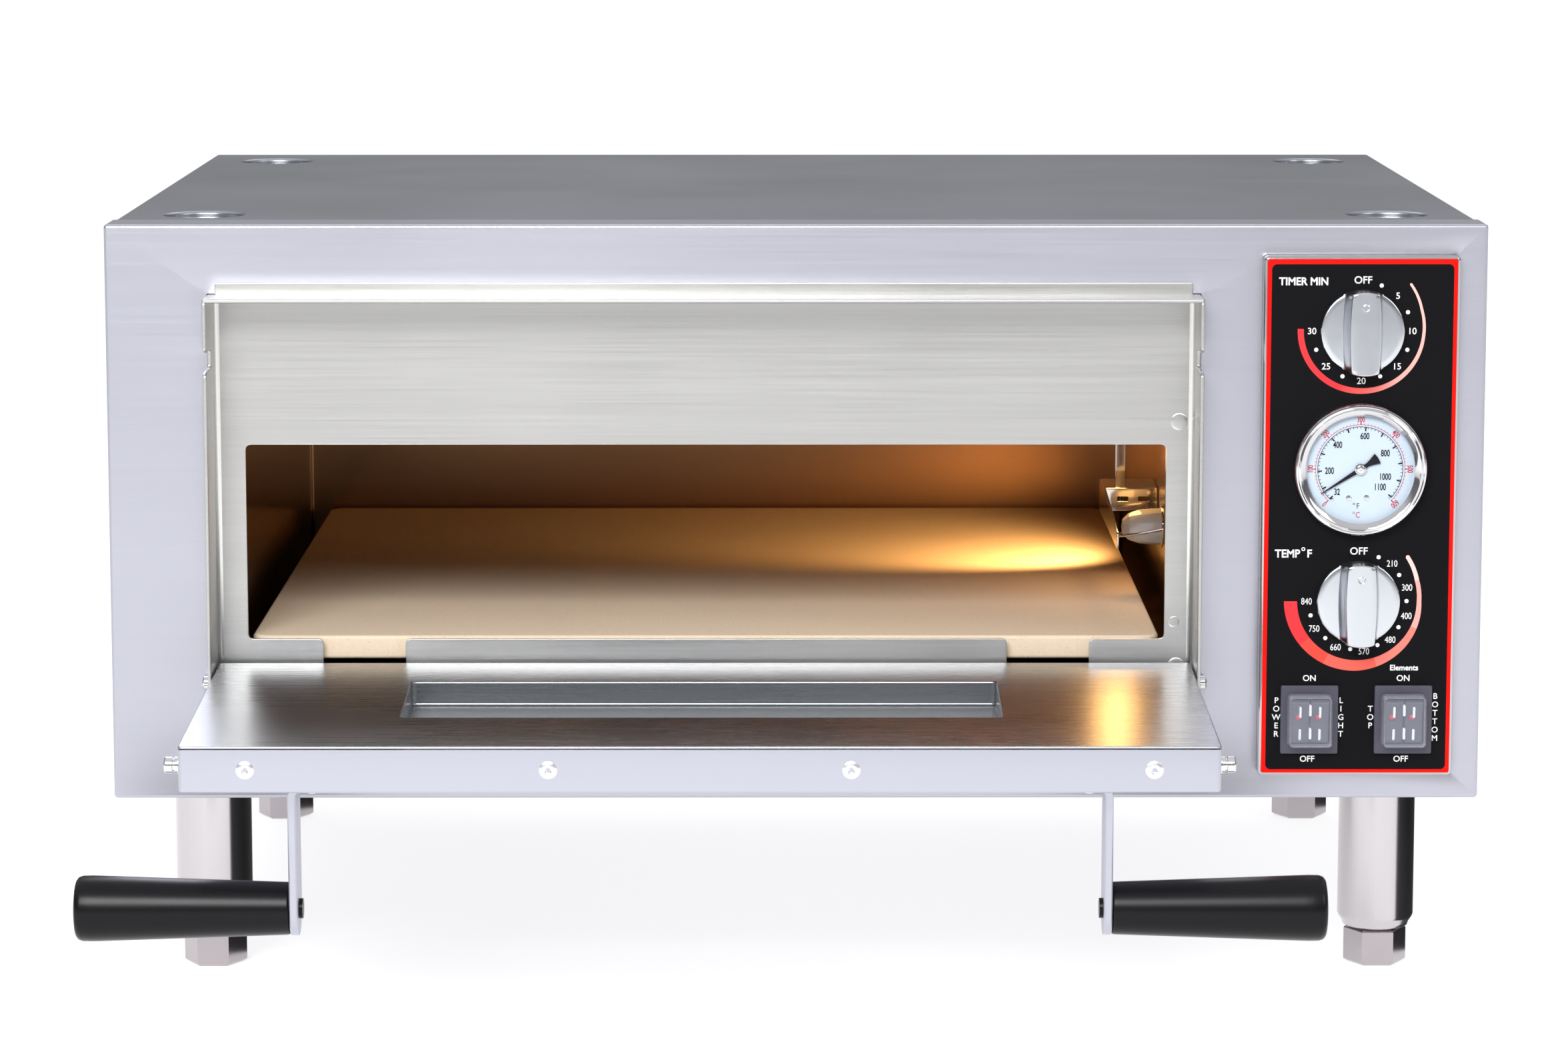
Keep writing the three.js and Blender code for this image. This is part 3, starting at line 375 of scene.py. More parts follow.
class Look:
    """A material built from one Principled shader."""

    def __init__(self, name, colour, roughness, metallic=0.0, **constants):
        self.material = bpy.data.materials.new(name)
        self.material.use_nodes = True
        self.tree = self.material.node_tree
        self.shader = self.tree.nodes["Principled BSDF"]
        self.colour = (*colour, 1.0)
        self.set("Base Color", self.colour)
        self.set("Roughness", roughness)
        self.set("Metallic", metallic)
        for key, value in constants.items():
            self.set(key.replace("_", " "), value)

    def set(self, socket, value):
        self.feed(self.shader.inputs[socket], value)

    def feed(self, socket, value):
        if isinstance(value, Value):
            self.tree.links.new(value.socket, socket)
        else:
            socket.default_value = value

    def node(self, kind, settings=None, inputs=None, output=0):
        made = self.tree.nodes.new(kind)
        for key, value in (settings or {}).items():
            setattr(made, key, value)
        for key, value in (inputs or {}).items():
            self.feed(made.inputs[key], value)
        return Value(self, made.outputs[output])

    def place(self, scale=(1, 1, 1), shift=(0, 0, 0)):
        """Object coordinates in metres, scaled and shifted."""
        here = self.node("ShaderNodeTexCoord", output="Object")
        return self.node("ShaderNodeMapping", None, {"Vector": here, "Scale": scale, "Location": shift})

    def noise(self, scale, place, detail=3.0, rough=0.55):
        inputs = {"Vector": place, "Scale": scale, "Detail": detail, "Roughness": rough}
        return self.node("ShaderNodeTexNoise", None, inputs)

    def blend(self, share, first, second):
        """Colour between two colours."""
        settings = {"data_type": "RGBA"}
        return self.node("ShaderNodeMix", settings, {0: share, 6: first, 7: second}, output=2)

    def ramp(self, factor, stops, interpolation="LINEAR"):
        """Colour ramp whose stops are (position, colour)."""
        made = self.tree.nodes.new("ShaderNodeValToRGB")
        made.color_ramp.interpolation = interpolation
        while len(made.color_ramp.elements) < len(stops):
            made.color_ramp.elements.new(0.5)
        for element, (position, colour) in zip(made.color_ramp.elements, stops):
            element.position = position
            element.color = (*colour, 1.0)
        self.feed(made.inputs[0], factor)
        return Value(self, made.outputs[0])

    def bump(self, height, strength, distance):
        inputs = {"Height": height, "Strength": strength, "Distance": distance}
        self.set("Normal", self.node("ShaderNodeBump", None, inputs))
        return self

    def shades(self, share, dark, light):
        """Base colour times dark where share is 0 and times light where it is 1."""
        low = tuple(c * dark for c in self.colour[:3]) + (1.0,)
        high = tuple(min(c * light, 1.0) for c in self.colour[:3]) + (1.0,)
        self.set("Base Color", self.blend(share, low, high))
        return self


def brushed(name, colour, roughness, along=0, grain=0.08, spread=0.10, bump=0.12, metallic=1.0,
            pitch=900.0, length=9.0):
    """Brushed sheet: noise stretched along one axis gives fine scratches in colour, roughness and
    bump, over broad soft cloudiness."""
    look = Look(name, colour, roughness, metallic)
    stretch = [pitch] * 3
    stretch[along] = length
    scratches = look.noise(1.0, look.place(stretch), 3.0, 0.65)
    bands = look.noise(1.0, look.place([v / 7 for v in stretch]), 2.0)
    cloud = look.noise(5.0, look.place(), 2.0)
    share = (scratches * 0.5 + bands * 0.3 + cloud * 0.4 - 0.1).clamped()
    look.shades(share, 1 - grain, 1 + grain)
    look.set("Roughness", (scratches - 0.5) * spread + (cloud - 0.5) * spread + roughness)
    return look.bump(scratches, bump, 0.00006).material


def smooth_metal(name, colour, roughness, spots=70.0, spread=0.06):
    """Turned or polished metal: soft variation of shine, and faint fine ripple."""
    look = Look(name, colour, roughness, 1.0)
    cloud = look.noise(spots, look.place(), 3.0)
    fine = look.noise(1400.0, look.place(), 2.0)
    look.shades(cloud, 0.95, 1.04)
    look.set("Roughness", (cloud - 0.5) * spread + (fine - 0.5) * spread + roughness)
    return look.bump(fine, 0.05, 0.00004).material


def moulded(name, colour, roughness, grain=0.05, coat=0.0, pitch=1800.0, shine=0.5):
    """Moulded or printed plastic: a fine grain in bump and roughness."""
    look = Look(name, colour, roughness, 0.0, Coat_Weight=coat, Coat_Roughness=0.08,
                Specular_IOR_Level=shine)
    fine = look.noise(pitch, look.place(), 2.0)
    cloud = look.noise(30.0, look.place(), 2.0)
    look.shades(cloud, 0.92, 1.08)
    look.set("Roughness", (fine - 0.5) * 0.1 + (cloud - 0.5) * 0.06 + roughness)
    return look.bump(fine, grain, 0.00005).material


def clear(name, tint, blend=0.12, shine=0.04, least=0.03, most=0.9):
    """Thin clear glass or plastic: mostly see-through, and a mirror at grazing angles."""
    look = Look(name, tint, shine, 0.0, Specular_IOR_Level=1.0)
    look.shades(look.noise(40.0, look.place(), 2.0), 0.97, 1.03)
    facing = look.node("ShaderNodeLayerWeight", None, {"Blend": blend}, output="Fresnel")
    share = (facing * (most - least) + least).clamped()
    through = look.node("ShaderNodeBsdfTransparent")
    mixed = look.tree.nodes.new("ShaderNodeMixShader")
    look.feed(mixed.inputs[0], share)
    look.feed(mixed.inputs[1], through)
    look.tree.links.new(look.shader.outputs[0], mixed.inputs[2])
    end = look.tree.nodes["Material Output"]
    look.tree.links.new(mixed.outputs[0], end.inputs[0])
    return look.material


def stone_look():
    """Fired cordierite slab: pale beige with fine grain and small pits."""
    look = Look("baking_stone_cordierite", (0.70, 0.56, 0.41), 0.85)
    grain = look.noise(420.0, look.place(), 4.0, 0.7)
    cloud = look.noise(9.0, look.place(), 3.0)
    specks = look.noise(900.0, look.place(), 1.0)
    share = (grain * 0.55 + cloud * 0.45).clamped()
    pale = look.blend(share, (0.62, 0.49, 0.355, 1), (0.80, 0.665, 0.505, 1))
    dots = ((specks - 0.66) * 9).clamped()
    look.set("Base Color", look.blend(dots * 0.5, pale, (0.30, 0.20, 0.12, 1)))
    return look.bump(grain + specks * 0.4, 0.35, 0.00025).material


def dial_band(name, centre, stops, interpolation):
    """Printed band whose colour follows the clockwise angle about a dial's centre."""
    look = Look(name, (0.8, 0.1, 0.08), 0.5)
    here = look.node("ShaderNodeTexCoord", output="Object")
    parts = look.tree.nodes.new("ShaderNodeSeparateXYZ")
    look.feed(parts.inputs[0], here)
    across = Value(look, parts.outputs[0]) - centre[0] * MM
    up = Value(look, parts.outputs[2]) - centre[1] * MM
    angle = across.join("ARCTAN2", across * -1.0, up * -1.0) / (2 * math.pi) + 0.5
    look.set("Base Color", look.ramp(angle, stops, interpolation))
    return look.material


LOOKS = {
    "fascia": brushed("casing_steel_front", (0.50, 0.505, 0.565), 0.34, 0, 0.06),
    # the top cover is the casing steel with a darker base colour: painted shade for a top that looks darker
    "cover": brushed("casing_steel_top_painted_shade", (0.38, 0.395, 0.425), 0.32, 0, 0.06),
    "side": brushed("casing_steel_side", (0.50, 0.50, 0.56), 0.38, 1, 0.06),
    "bay": brushed("bay_frame_steel", (0.54, 0.535, 0.52), 0.33, 0, 0.20, 0.18, 0.3),
    # much paler than the frame steel it belongs to: a painted highlight along the bay frame's bends and the
    # chamber's corner seams
    "bay_edge": smooth_metal("bend_and_seam_painted_highlight", (0.80, 0.79, 0.76), 0.22),
    "door": brushed("door_inner_steel", (0.43, 0.44, 0.47), 0.27, 0, 0.10, 0.08, 0.08),
    "door_outside": brushed("door_outer_steel", (0.51, 0.515, 0.585), 0.36, 0, 0.05),
    "chamber": brushed("chamber_steel", (0.44, 0.30, 0.18), 0.17, 1, 0.10, 0.06, 0.04),
    # a darker copy of the chamber steel for the back wall: painted shade at the back of the chamber
    "chamber_back": brushed("chamber_back_steel_painted_shade", (0.36, 0.21, 0.11), 0.24, 0, 0.12, 0.06, 0.04),
    "guard": smooth_metal("guard_steel", (0.58, 0.54, 0.52), 0.08, 60.0, 0.03),
    "leg": brushed("leg_steel_tube", (0.58, 0.55, 0.565), 0.19, 2, 0.10, 0.08, 0.05),
    "zinc": smooth_metal("foot_zinc", (0.46, 0.42, 0.44), 0.20, 90.0),
    "plate": smooth_metal("control_plate_steel", (0.52, 0.50, 0.51), 0.14, 50.0),
    "chrome": smooth_metal("gauge_chrome", (0.66, 0.65, 0.66), 0.07, 60.0, 0.02),
    "satin": smooth_metal("knob_satin_metal", (0.60, 0.62, 0.66), 0.22, 120.0, 0.05),
    "pin": smooth_metal("pin_steel_turned", (0.74, 0.73, 0.74), 0.16),
    "rivet": smooth_metal("rivet_steel", (0.88, 0.88, 0.90), 0.30),
    # black for the cards beside the legs, which show only as painted dark reflections in the legs
    "dark": moulded("leg_reflection_black", (0.01, 0.01, 0.011), 0.6),
    "grey_card": moulded("studio_grey_card", (0.36, 0.36, 0.37), 0.9),
    "label": moulded("label_black", (0.005, 0.005, 0.006), 0.42, 0.04, shine=0.06),
    "red": moulded("label_red", (0.70, 0.006, 0.003), 0.45, 0.04, shine=0.08),
    "white": moulded("label_white", (0.90, 0.90, 0.90), 0.5, 0.03),
    "dial": moulded("dial_pale_blue", (0.48, 0.56, 0.65), 0.5, 0.03, shine=0.15),
    "ink": moulded("dial_black_ink", (0.006, 0.006, 0.008), 0.5, 0.03, shine=0.1),
    "red_ink": moulded("dial_red_ink", (0.42, 0.015, 0.03), 0.5, 0.03, shine=0.1),
    "pointer": moulded("pointer_enamel", (0.008, 0.008, 0.012), 0.35, 0.03, shine=0.2),
    "grip": moulded("grip_phenolic", (0.004, 0.004, 0.005), 0.30, 0.04, shine=0.2),
    "switch": moulded("switch_nylon", (0.050, 0.048, 0.070), 0.38, 0.08),
    "rocker": moulded("rocker_nylon", (0.075, 0.075, 0.105), 0.35, 0.06),
    "dash": smooth_metal("rocker_mark", (0.85, 0.86, 0.90), 0.25),
    "neon": moulded("neon_lens", (0.45, 0.03, 0.05), 0.25, 0.03),
    "gland": moulded("gland_black_nylon", (0.03, 0.03, 0.032), 0.5, 0.10),
    "wool": moulded("mineral_wool_felt", (0.60, 0.56, 0.46), 0.95, 0.6, 0.0, 500.0),
    "ceramic": moulded("lamp_ceramic", (0.80, 0.77, 0.70), 0.55, 0.10),
    "sheath": smooth_metal("element_sheath_oxide", (0.11, 0.10, 0.095), 0.50, 60.0, 0.15),
    "copper": smooth_metal("bulb_copper_tube", (0.60, 0.33, 0.20), 0.25),
    "stone": stone_look(),
    "lens": clear("gauge_glass", (0.9, 0.95, 1.0), 0.02, 0.03, 0.0, 0.35),
    "window": clear("door_window_glass", (0.30, 0.32, 0.33), 0.20, 0.05, 0.35, 0.95),
    "dome": clear("lamp_dome_glass", (0.9, 0.92, 0.97), 0.55, 0.03, 0.35, 0.98),
    "cover_clear": clear("switch_cover_clear", (0.55, 0.57, 0.66), 0.22, 0.10, 0.08, 0.80),
}
PALE = [(0.92, 0.52, 0.47), (0.88, 0.32, 0.28), (0.86, 0.17, 0.13), (0.83, 0.09, 0.06),
        (0.82, 0.04, 0.022), (0.80, 0.012, 0.020)]


def dress(look, slot, *names):
    """CAD nodes whose shape is right keep it and take a finish."""
    for name in names:
        NODES[name].data.materials.clear()
        NODES[name].data.materials.append(LOOKS[look])


# ------------------------------------------------------------------ layout of the oven
CASE_X, CASE_BACK, BASE_Z, TOP_Z = 350.0, 520.0, 104.0, 399.0
BAY = (-298.1, 204.9, 146.0, 363.6)
MOUTH = (-281.0, 189.0, 185.0, 285.5)
NOTCHES = ((-242.5, -200.3), (108.3, 150.5))
CHAMBER = (-292.0, 200.0, 148.0, 312.0)
PLATE = (235.9, 335.2, 117.6, 384.0)
PANEL_X, TIMER_Z, GAUGE_Z, HEAT_Z, SWITCH_Z = 285.55, 346.0, 276.0, 207.9, 147.1
SWITCH_XS = (261.65, 309.45)
LEG_XS, LEG_YS = (-308.0, 308.0), (79.0, 465.0)
LEG_NAMES = (("left_front", "left_rear"), ("right_front", "right_rear"))
LABEL_Y, PLATE_FACE, GAUGE_FACE = -10.4, -10.7, -12.5
BACK_FACE, SIDE_FACE, BAY_FACE = 518.6, 348.6, 11.0
GLAND = (-290, 142)
SCREW_ZS = (112, 374)
DIAL_START = -135
DOOR_HALF, DOOR_IN, DOOR_OUT, DOOR_FOOT, DOOR_TOP = 248.5, 8.5, -14.5, -9.0, 177.6


# ------------------------------------------------------------------ casing
def panel_holes():
    """Outlines cut through the control plate and its label: two shafts, the gauge, two switches."""
    shafts = [circle((PANEL_X, z), 4.8, 24)[::-1] for z in (TIMER_Z, HEAT_Z)]
    switches = [centred(x, SWITCH_Z, 13.3, 16.2, 1)[::-1] for x in SWITCH_XS]
    return shafts + [circle((PANEL_X, GAUGE_Z), 30.5, 64)[::-1]] + switches


def by_side(loop, top_depth, side_depth, bottom_depth):
    """Depth of a bent return at each point of a loop, by the side of the rectangle it is on."""
    v = loop[:, 1]
    depth = np.where(v > v.max() - 1.0, top_depth, side_depth)
    return np.where(v < v.min() + 1.0, bottom_depth, depth)


def add_fascia():
    outer = rounded(-CASE_X, CASE_X, BASE_Z, TOP_Z, 1.8, 5)
    bay = rounded(BAY[0] - 0.4, BAY[1] + 0.4, BAY[2] - 0.4, BAY[3] + 0.4, 0.8, 2)[::-1]
    behind = rounded(PLATE[0] + 3, PLATE[1] - 3, PLATE[2] + 3, PLATE[3] - 3, 1, 2)[::-1]
    profile = roll(1.7, 0.0, 5) + [(0.0, by_side(outer, 29.8, 14.8, 1.9))]
    skin = Surface().sheet(front(), [(outer, profile), (bay, [(0, 0)]), (behind, [(0, 0)])])
    skin.finish("fascia_sheet", "fascia", "stainless_casing", replaces=["front_fascia"],
                wall=1.15, closed=False)


def add_cover():
    cover_z = TOP_Z - 1.4
    outer = rounded(-CASE_X, CASE_X, 15.4, CASE_BACK, 2.2, 5)
    depth = np.where(outer[:, 1] < 16.4, 1.9, 15.0)
    loops = [(outer, roll(1.7, 0.0, 5) + [(0.0, depth)])]
    fall = [(1.6 * (1 - math.sin(t)), 1.6 * (1 - math.cos(t))) for t in np.linspace(0, math.pi / 2, 6)]
    floor = [(-1.2 * (1 - math.cos(t)), 2.9 + 1.2 * math.sin(t)) for t in np.linspace(0, math.pi / 2, 5)]
    dish = fall + floor + [(-12.0, 4.0), (-20.49, 4.0)]
    for x in LEG_XS:
        for y in LEG_YS:
            loops.append((circle((x, y), 20.5, 64)[::-1], dish))
    skin = Surface().sheet(top(cover_z), loops)
    skin.sheet(top(cover_z - 0.05), [(rounded(-349, 349, 1.6, 16.6, 0.5, 1), [(0, 0), (0, 1.0)])])
    # the cover takes the darker copy of the casing steel, which is painted shade
    skin.finish("cover_sheet", "cover", "stainless_casing", replaces=["top_cover"],
                wall=1.1, closed=False)


def screw(surface, plane, centre, radius=3.6, proud=1.3, look=0):
    """Low pan-head screw with a round socket."""
    r = radius
    head = [(0, 0.25), (r * 0.34, 0.25), (r * 0.36, -proud), (r * 0.6, -proud), (r * 0.88, -proud * 0.72),
            (r, -proud * 0.2), (r, 0.3), (0, 0.3)]
    surface.turned(plane, centre, head, 24, look=look)


def add_casing_details():
    back = Surface()
    outline = rounded(-SIDE_FACE, SIDE_FACE, BASE_Z, 396.2, 1.2, 2)
    slots = [rounded(-(x + 2), -(x - 2), 261.2, 351.2, 1.9, 5)[::-1] for x in np.arange(254, 327, 9.0)]
    gland = circle(GLAND, 10.6, 40)[::-1]
    back.plate(rear(BACK_FACE), [outline, gland] + slots, 0.0, 1.2, 0.25)
    back.finish("rear_sheet", "side", "stainless_casing", replaces=["back_panel"])
    heads = Surface()
    for x in (-335, -168, 0, 168, 335):
        for z in SCREW_ZS:
            screw(heads, rear(BACK_FACE), (-x, z))
    for y in (28, 260, 500):
        for z in SCREW_ZS:
            screw(heads, right(SIDE_FACE), (y, z))
            screw(heads, left(-SIDE_FACE), (-y, z))
    heads.finish("casing_screws", "rivet", "stainless_casing")
    dress("side", "stainless_casing", "left_side_panel", "right_side_panel", "base_panel")


def add_legs():
    """Brushed tubes with a rolled-in lower end, and hexagonal screw feet on threaded stems."""
    tube = [(6.4, -20.2), (16.4, -20.2), (17.2, -20.8), (17.6, -22.4), (19.3, -25.0), (20.0, -26.6),
            (20.0, -103.9), (18.5, -103.9), (18.5, -30.0), (6.4, -30.0)]
    ridges = [(6.0 if i % 2 else 5.3, -19.7 - 0.875 * i) for i in range(1, 57)]
    stem = [(0, -19.0), (5.3, -19.0)] + ridges + [(0, -69.7)]
    hexagon = [(0, -0.1), (14.3, -0.1), (16.4, -1.4), (16.5, -2.2), (16.5, -18.0), (16.2, -18.7),
               (14.3, -19.7), (0, -19.7)]
    for x, names in zip(LEG_XS, LEG_NAMES):
        for y, name in zip(LEG_YS, names):
            leg = Surface().turned(top(), (x, y), tube, 72, loop=True)
            leg.finish(f"{name}_leg_tube", "leg", "leg_steel", replaces=[f"{name}_leg"])
            foot = Surface().turned(top(), (x, y), hexagon, 6).turned(top(), (x, y), stem, 28)
            foot.finish(f"{name}_screw_foot", "zinc", "foot_steel", f"{name}_foot",
                        [f"{name}_foot"], keen=30)


# ------------------------------------------------------------------ door bay
def add_bay():
    """Folded frame of 2 mm steel: inner plate with the mouth, and flanges standing forward."""
    x0, x1, z0, z1 = BAY
    frame_piece = Surface()
    mouth = [(MOUTH[0], MOUTH[3]), (MOUTH[0], MOUTH[2])]
    for a, b in NOTCHES:
        mouth += [(a, MOUTH[2]), (a, MOUTH[2] - 20), (b, MOUTH[2] - 20), (b, MOUTH[2])]
    mouth += [(MOUTH[1], MOUTH[2]), (MOUTH[1], MOUTH[3])]
    plate_edge = rounded(x0 + 0.2, x1 - 0.2, z0, z1 - 0.2, 1.0, 2)
    frame_piece.plate(front(BAY_FACE), [plate_edge, softened(mouth[::-1], 3.0, 5)], 0, 2.0, 0.3)
    frame_piece.plate(top(z1), [rounded(x0, x1, -26, 11.6, 1.2, 4)], 0, 2.0, 0.8, 0.8, 4)
    low, high = 325.4, 337.4
    for side, x in ((1, x0), (-1, x1)):
        wing = [(-26, z0), (11.8, z0), (11.8, z1 - 1.4), (-26, z1 - 1.4), (-26, high), (-21, high - 1.5),
                (-3.4, high - 1.5), (-3.4, low + 1.5), (-21, low + 1.5), (-26, low)]
        loop = softened(wing, 1.6, 4)
        hole = circle((-5, 165), 3.95, 28)[::-1]
        board = Plane((x + side * 2.0, 0, 0), (0, 1, 0), (0, 0, 1))
        depth = (0, 2.0) if side > 0 else (-2.0, 0)
        frame_piece.plate(board, [loop, hole], *depth, 0.7, 0.7, 4)
    frame_piece.plate(front(-1.4), [rounded(x0 + 4, x1 - 4, z1 - 1.6, z1 + 5.8, 0.8, 3)], 0, 1.15, 0.3)
    frame_piece.finish("bay_frame", "bay", "frame_steel", replaces=["door_frame"])
    # the bend fillets take the pale steel as a painted highlight along the folds
    fillets = Surface()
    bend = np.array([(0.0, 0.0), (2.6, 0.0), (1.5, 0.35), (0.6, 1.0), (0.15, 1.8), (0.0, 2.8)])
    for side, x in ((1, x0 + 2), (-1, x1 - 2)):
        rings = [[(x + side * a, BAY_FACE - b, z) for a, b in bend] for z in (z0 + 0.3, z1 - 2.1)]
        around = len(bend)
        caps = [[np.arange(around)], [np.arange(around)[::-1] + around]]
        fillets.add(rings, quads(2, around), *caps)
    rings = [[(x, BAY_FACE - a, z1 - 2 - b) for a, b in bend] for x in (x0 + 2.1, x1 - 2.1)]
    fillets.add(rings, quads(2, len(bend)), *caps)
    fillets.finish("bay_frame_bends", "bay_edge", "frame_steel", keen=60)
    rivets = Surface()
    dome = [(0, -0.35), (2.6, -0.34), (3.8, -0.28), (4.3, -0.1), (4.4, 0.3), (0, 0.3)]
    for x, z, size in ((195.5, 297.3, 1.0), (193.9, 193.8, 0.65), (195.2, 170.9, 1.0)):
        profile = [(r * size, d * size) for r, d in dome]
        rivets.turned(front(BAY_FACE), (x, z), profile, 28)
    rivets.finish("bay_frame_rivets", "bay", "frame_steel")


# ------------------------------------------------------------------ baking chamber
def element_path(z):
    """Four runs joined by half turns, both ends at the back."""
    runs = np.linspace(-232, 140, 4)
    turn = (runs[1] - runs[0]) / 2
    front_y, back_y = 73.2 + turn, 462.0 - turn
    points = [[(runs[0], 501.2), (runs[0], back_y)]]
    for i, x in enumerate(runs[:3]):
        y = front_y if i % 2 == 0 else back_y
        angle = (180, 360) if i % 2 == 0 else (180, 0)
        points.append(arc((x + turn, y), turn, *angle, 20))
    points.append([(runs[3], back_y), (runs[3], 501.2)])
    flat = np.vstack(points)
    return np.column_stack([flat, np.full(len(flat), z)])


def add_chamber():
    for name, z in (("top", 296.0), ("bottom", 160.0)):
        piece = Surface().tube(element_path(z), 4.0, 16)
        piece.finish(f"{name}_element_tube", "sheath", "element_sheath",
                     replaces=[f"{name}_heating_element"])
    slab = rounded(-280, 187, 16, 485, 10, 10)
    stone = Surface().plate(top(185.8), [slab], 0, 12.0, 1.8, 1.8, 5)
    stone.finish("stone_slab", "stone", "baking_stone", replaces=["baking_stone"], keen=50)
    # weld seams in the chamber's rear corners, drawn as thin tubes; their pale colour is a painted
    # highlight
    seams = Surface()
    for x in (CHAMBER[0] + 0.5, CHAMBER[1] - 0.5):
        seams.tube([(x, 491.5, z) for z in np.linspace(148.5, 311.5, 4)], 0.6, 8, up=(0, 1, 0))
    seams.finish("chamber_corner_seams", "bay_edge", "polished_chamber")
    dress("chamber", "polished_chamber", "chamber_left_wall", "chamber_right_wall", "chamber_ceiling",
          "chamber_floor")
    # the back wall takes the darker copy of the chamber steel, which is painted shade
    dress("chamber_back", "polished_chamber", "chamber_back_wall")
    dress("wool", "mineral_wool", "insulation_top", "insulation_base", "insulation_surround")
    dress("copper", "bulb_copper", "thermostat_bulb")
    dress("ceramic", "ceramic", "lamp_socket")


def add_lamp():
    """Lamp guard folded from polished sheet, and the faceted glass dome with its wire clip."""
    guard = Surface()
    shelf = rounded(170.1, 199.6, 201.3, 238.1, 1.5, 3)
    lip = rounded(170.1, 199.6, 224.1, 236.9, 1.5, 3)
    slots = [rounded(x, x + 7, 229.0, 232.6, 0.9, 3) for x in (177.0, 188.5)]
    flange = softened([(93.4, 227.9), (93.4, 219.1), (238.1, 219.1), (238.1, 236.9),
                       (201.3, 236.9)], 2.0, 4)
    strap = rounded(-184.4, -178.6, 236.0, 311.6, 1.0, 3)
    for board, loops in ((top(237.0), [shelf]), (front(201.3), [lip] + slots), (right(171.2), [flange]),
                         (rear(238.1), [strap])):
        guard.plate(board, loops, 0, 1.2, 0.4, 0.4, 3)
    guard.finish("lamp_guard_sheet", "guard", "polished_chamber", replaces=["lamp_guard"])
    board = left(CHAMBER[1])
    centre = (-150.2, 223.0)
    outside = [(0, -23.9), (4.0, -23.2), (7.2, -20.0), (9.2, -14.0), (9.8, -7.0), (9.9, -0.4)]
    inside = [(7.8, -0.4), (7.8, 9.0), (5.6, 9.0), (5.6, -3.0), (7.4, -8.0), (6.4, -15.0), (4.2, -19.0),
              (0, -20.5)]
    dome = Surface().turned(board, centre, outside + inside, 10, start=18)
    dome.finish("lamp_dome", "dome", "lamp_glass", replaces=["lamp_lens"], keen=20)
    clip = Surface()
    ring = circle(centre, 10.7, 40)
    clip.tube(board.at(ring, -2.0), 0.7, 8, up=(1, 0, 0), closed=True)
    t = np.linspace(0, math.pi, 24)
    bail = np.column_stack([198 - 24.6 * np.sin(t), 150.2 + 10.7 * np.cos(t), 223 - 5.0 * np.sin(t)])
    clip.tube(bail, 0.7, 8)
    clip.finish("lamp_clip_wire", "guard", "polished_chamber", keen=60)


# ------------------------------------------------------------------ lettering and printing
def lettering(surface, board, words, at, height, depth=0.0, squeeze=1.0, weight=0.0, spin=0.0,
              align="CENTER", look=0, thick=0.03):
    """Flat letters as thin closed plates. Height is that of the capitals; at is the middle of the
    word, or its left end at mid height."""
    font = bpy.data.curves.new("lettering", "FONT")
    font.body = words
    font.align_x = align
    font.resolution_u = 4
    font.offset = weight
    font.extrude = thick / height / 2
    holder = bpy.data.objects.new("lettering", font)
    bpy.context.scene.collection.objects.link(holder)
    seen = holder.evaluated_get(bpy.context.evaluated_depsgraph_get())
    mesh = bpy.data.meshes.new_from_object(seen)
    points = np.zeros(len(mesh.vertices) * 3)
    mesh.vertices.foreach_get("co", points)
    points = points.reshape(-1, 3)
    capital = 0.69
    size = height / capital
    flat = (points[:, :2] - (0, capital / 2)) * (size * squeeze, size)
    turn = math.radians(spin)
    cos, sin = math.cos(turn), math.sin(turn)
    flat = flat @ np.array([[cos, sin], [-sin, cos]]) + at
    deep = depth - points[:, 2] * height
    start = surface.total
    surface.points.append(board.at(flat, deep))
    for face in mesh.polygons:
        surface.faces.append([v + start for v in face.vertices])
        surface.looks.append(look)
    surface.total += len(points)
    bpy.data.objects.remove(holder)
    bpy.data.curves.remove(font)
    bpy.data.meshes.remove(mesh)


def around(centre, radius, clockwise):
    """Point at a clockwise angle from the top of a dial."""
    turn = math.radians(clockwise)
    return np.array(centre) + radius * np.array([math.sin(turn), math.cos(turn)])


def band(surface, board, centre, angles, inner, outer, depth, thick=0.04, look=0):
    """Printed band round a dial: radii are given at angles and run evenly between them."""
    at = np.linspace(angles[0], angles[-1], 90)
    low, high = np.interp(at, angles, inner), np.interp(at, angles, outer)
    middle, half = (low + high) / 2, (high - low) / 2
    turn = np.radians(at)
    way = np.column_stack([np.sin(turn), np.cos(turn)])
    outer_side = np.array(centre) + way * (middle + half)[:, None]
    inner_side = np.array(centre) + way * (middle - half)[:, None]
    cap_radius = half[0]
    mid = np.array(centre) + way[0] * middle[0]
    back = np.array([-way[0][1], way[0][0]])
    cap = [mid + cap_radius * (math.cos(a) * -way[0] + math.sin(a) * back)
           for a in np.linspace(0.2, math.pi - 0.2, 8)]
    loop = np.vstack([outer_side, inner_side[::-1], cap])
    surface.plate(board, [loop[::-1]], depth, depth + thick, 0.01, 0.01, 1, look=look)


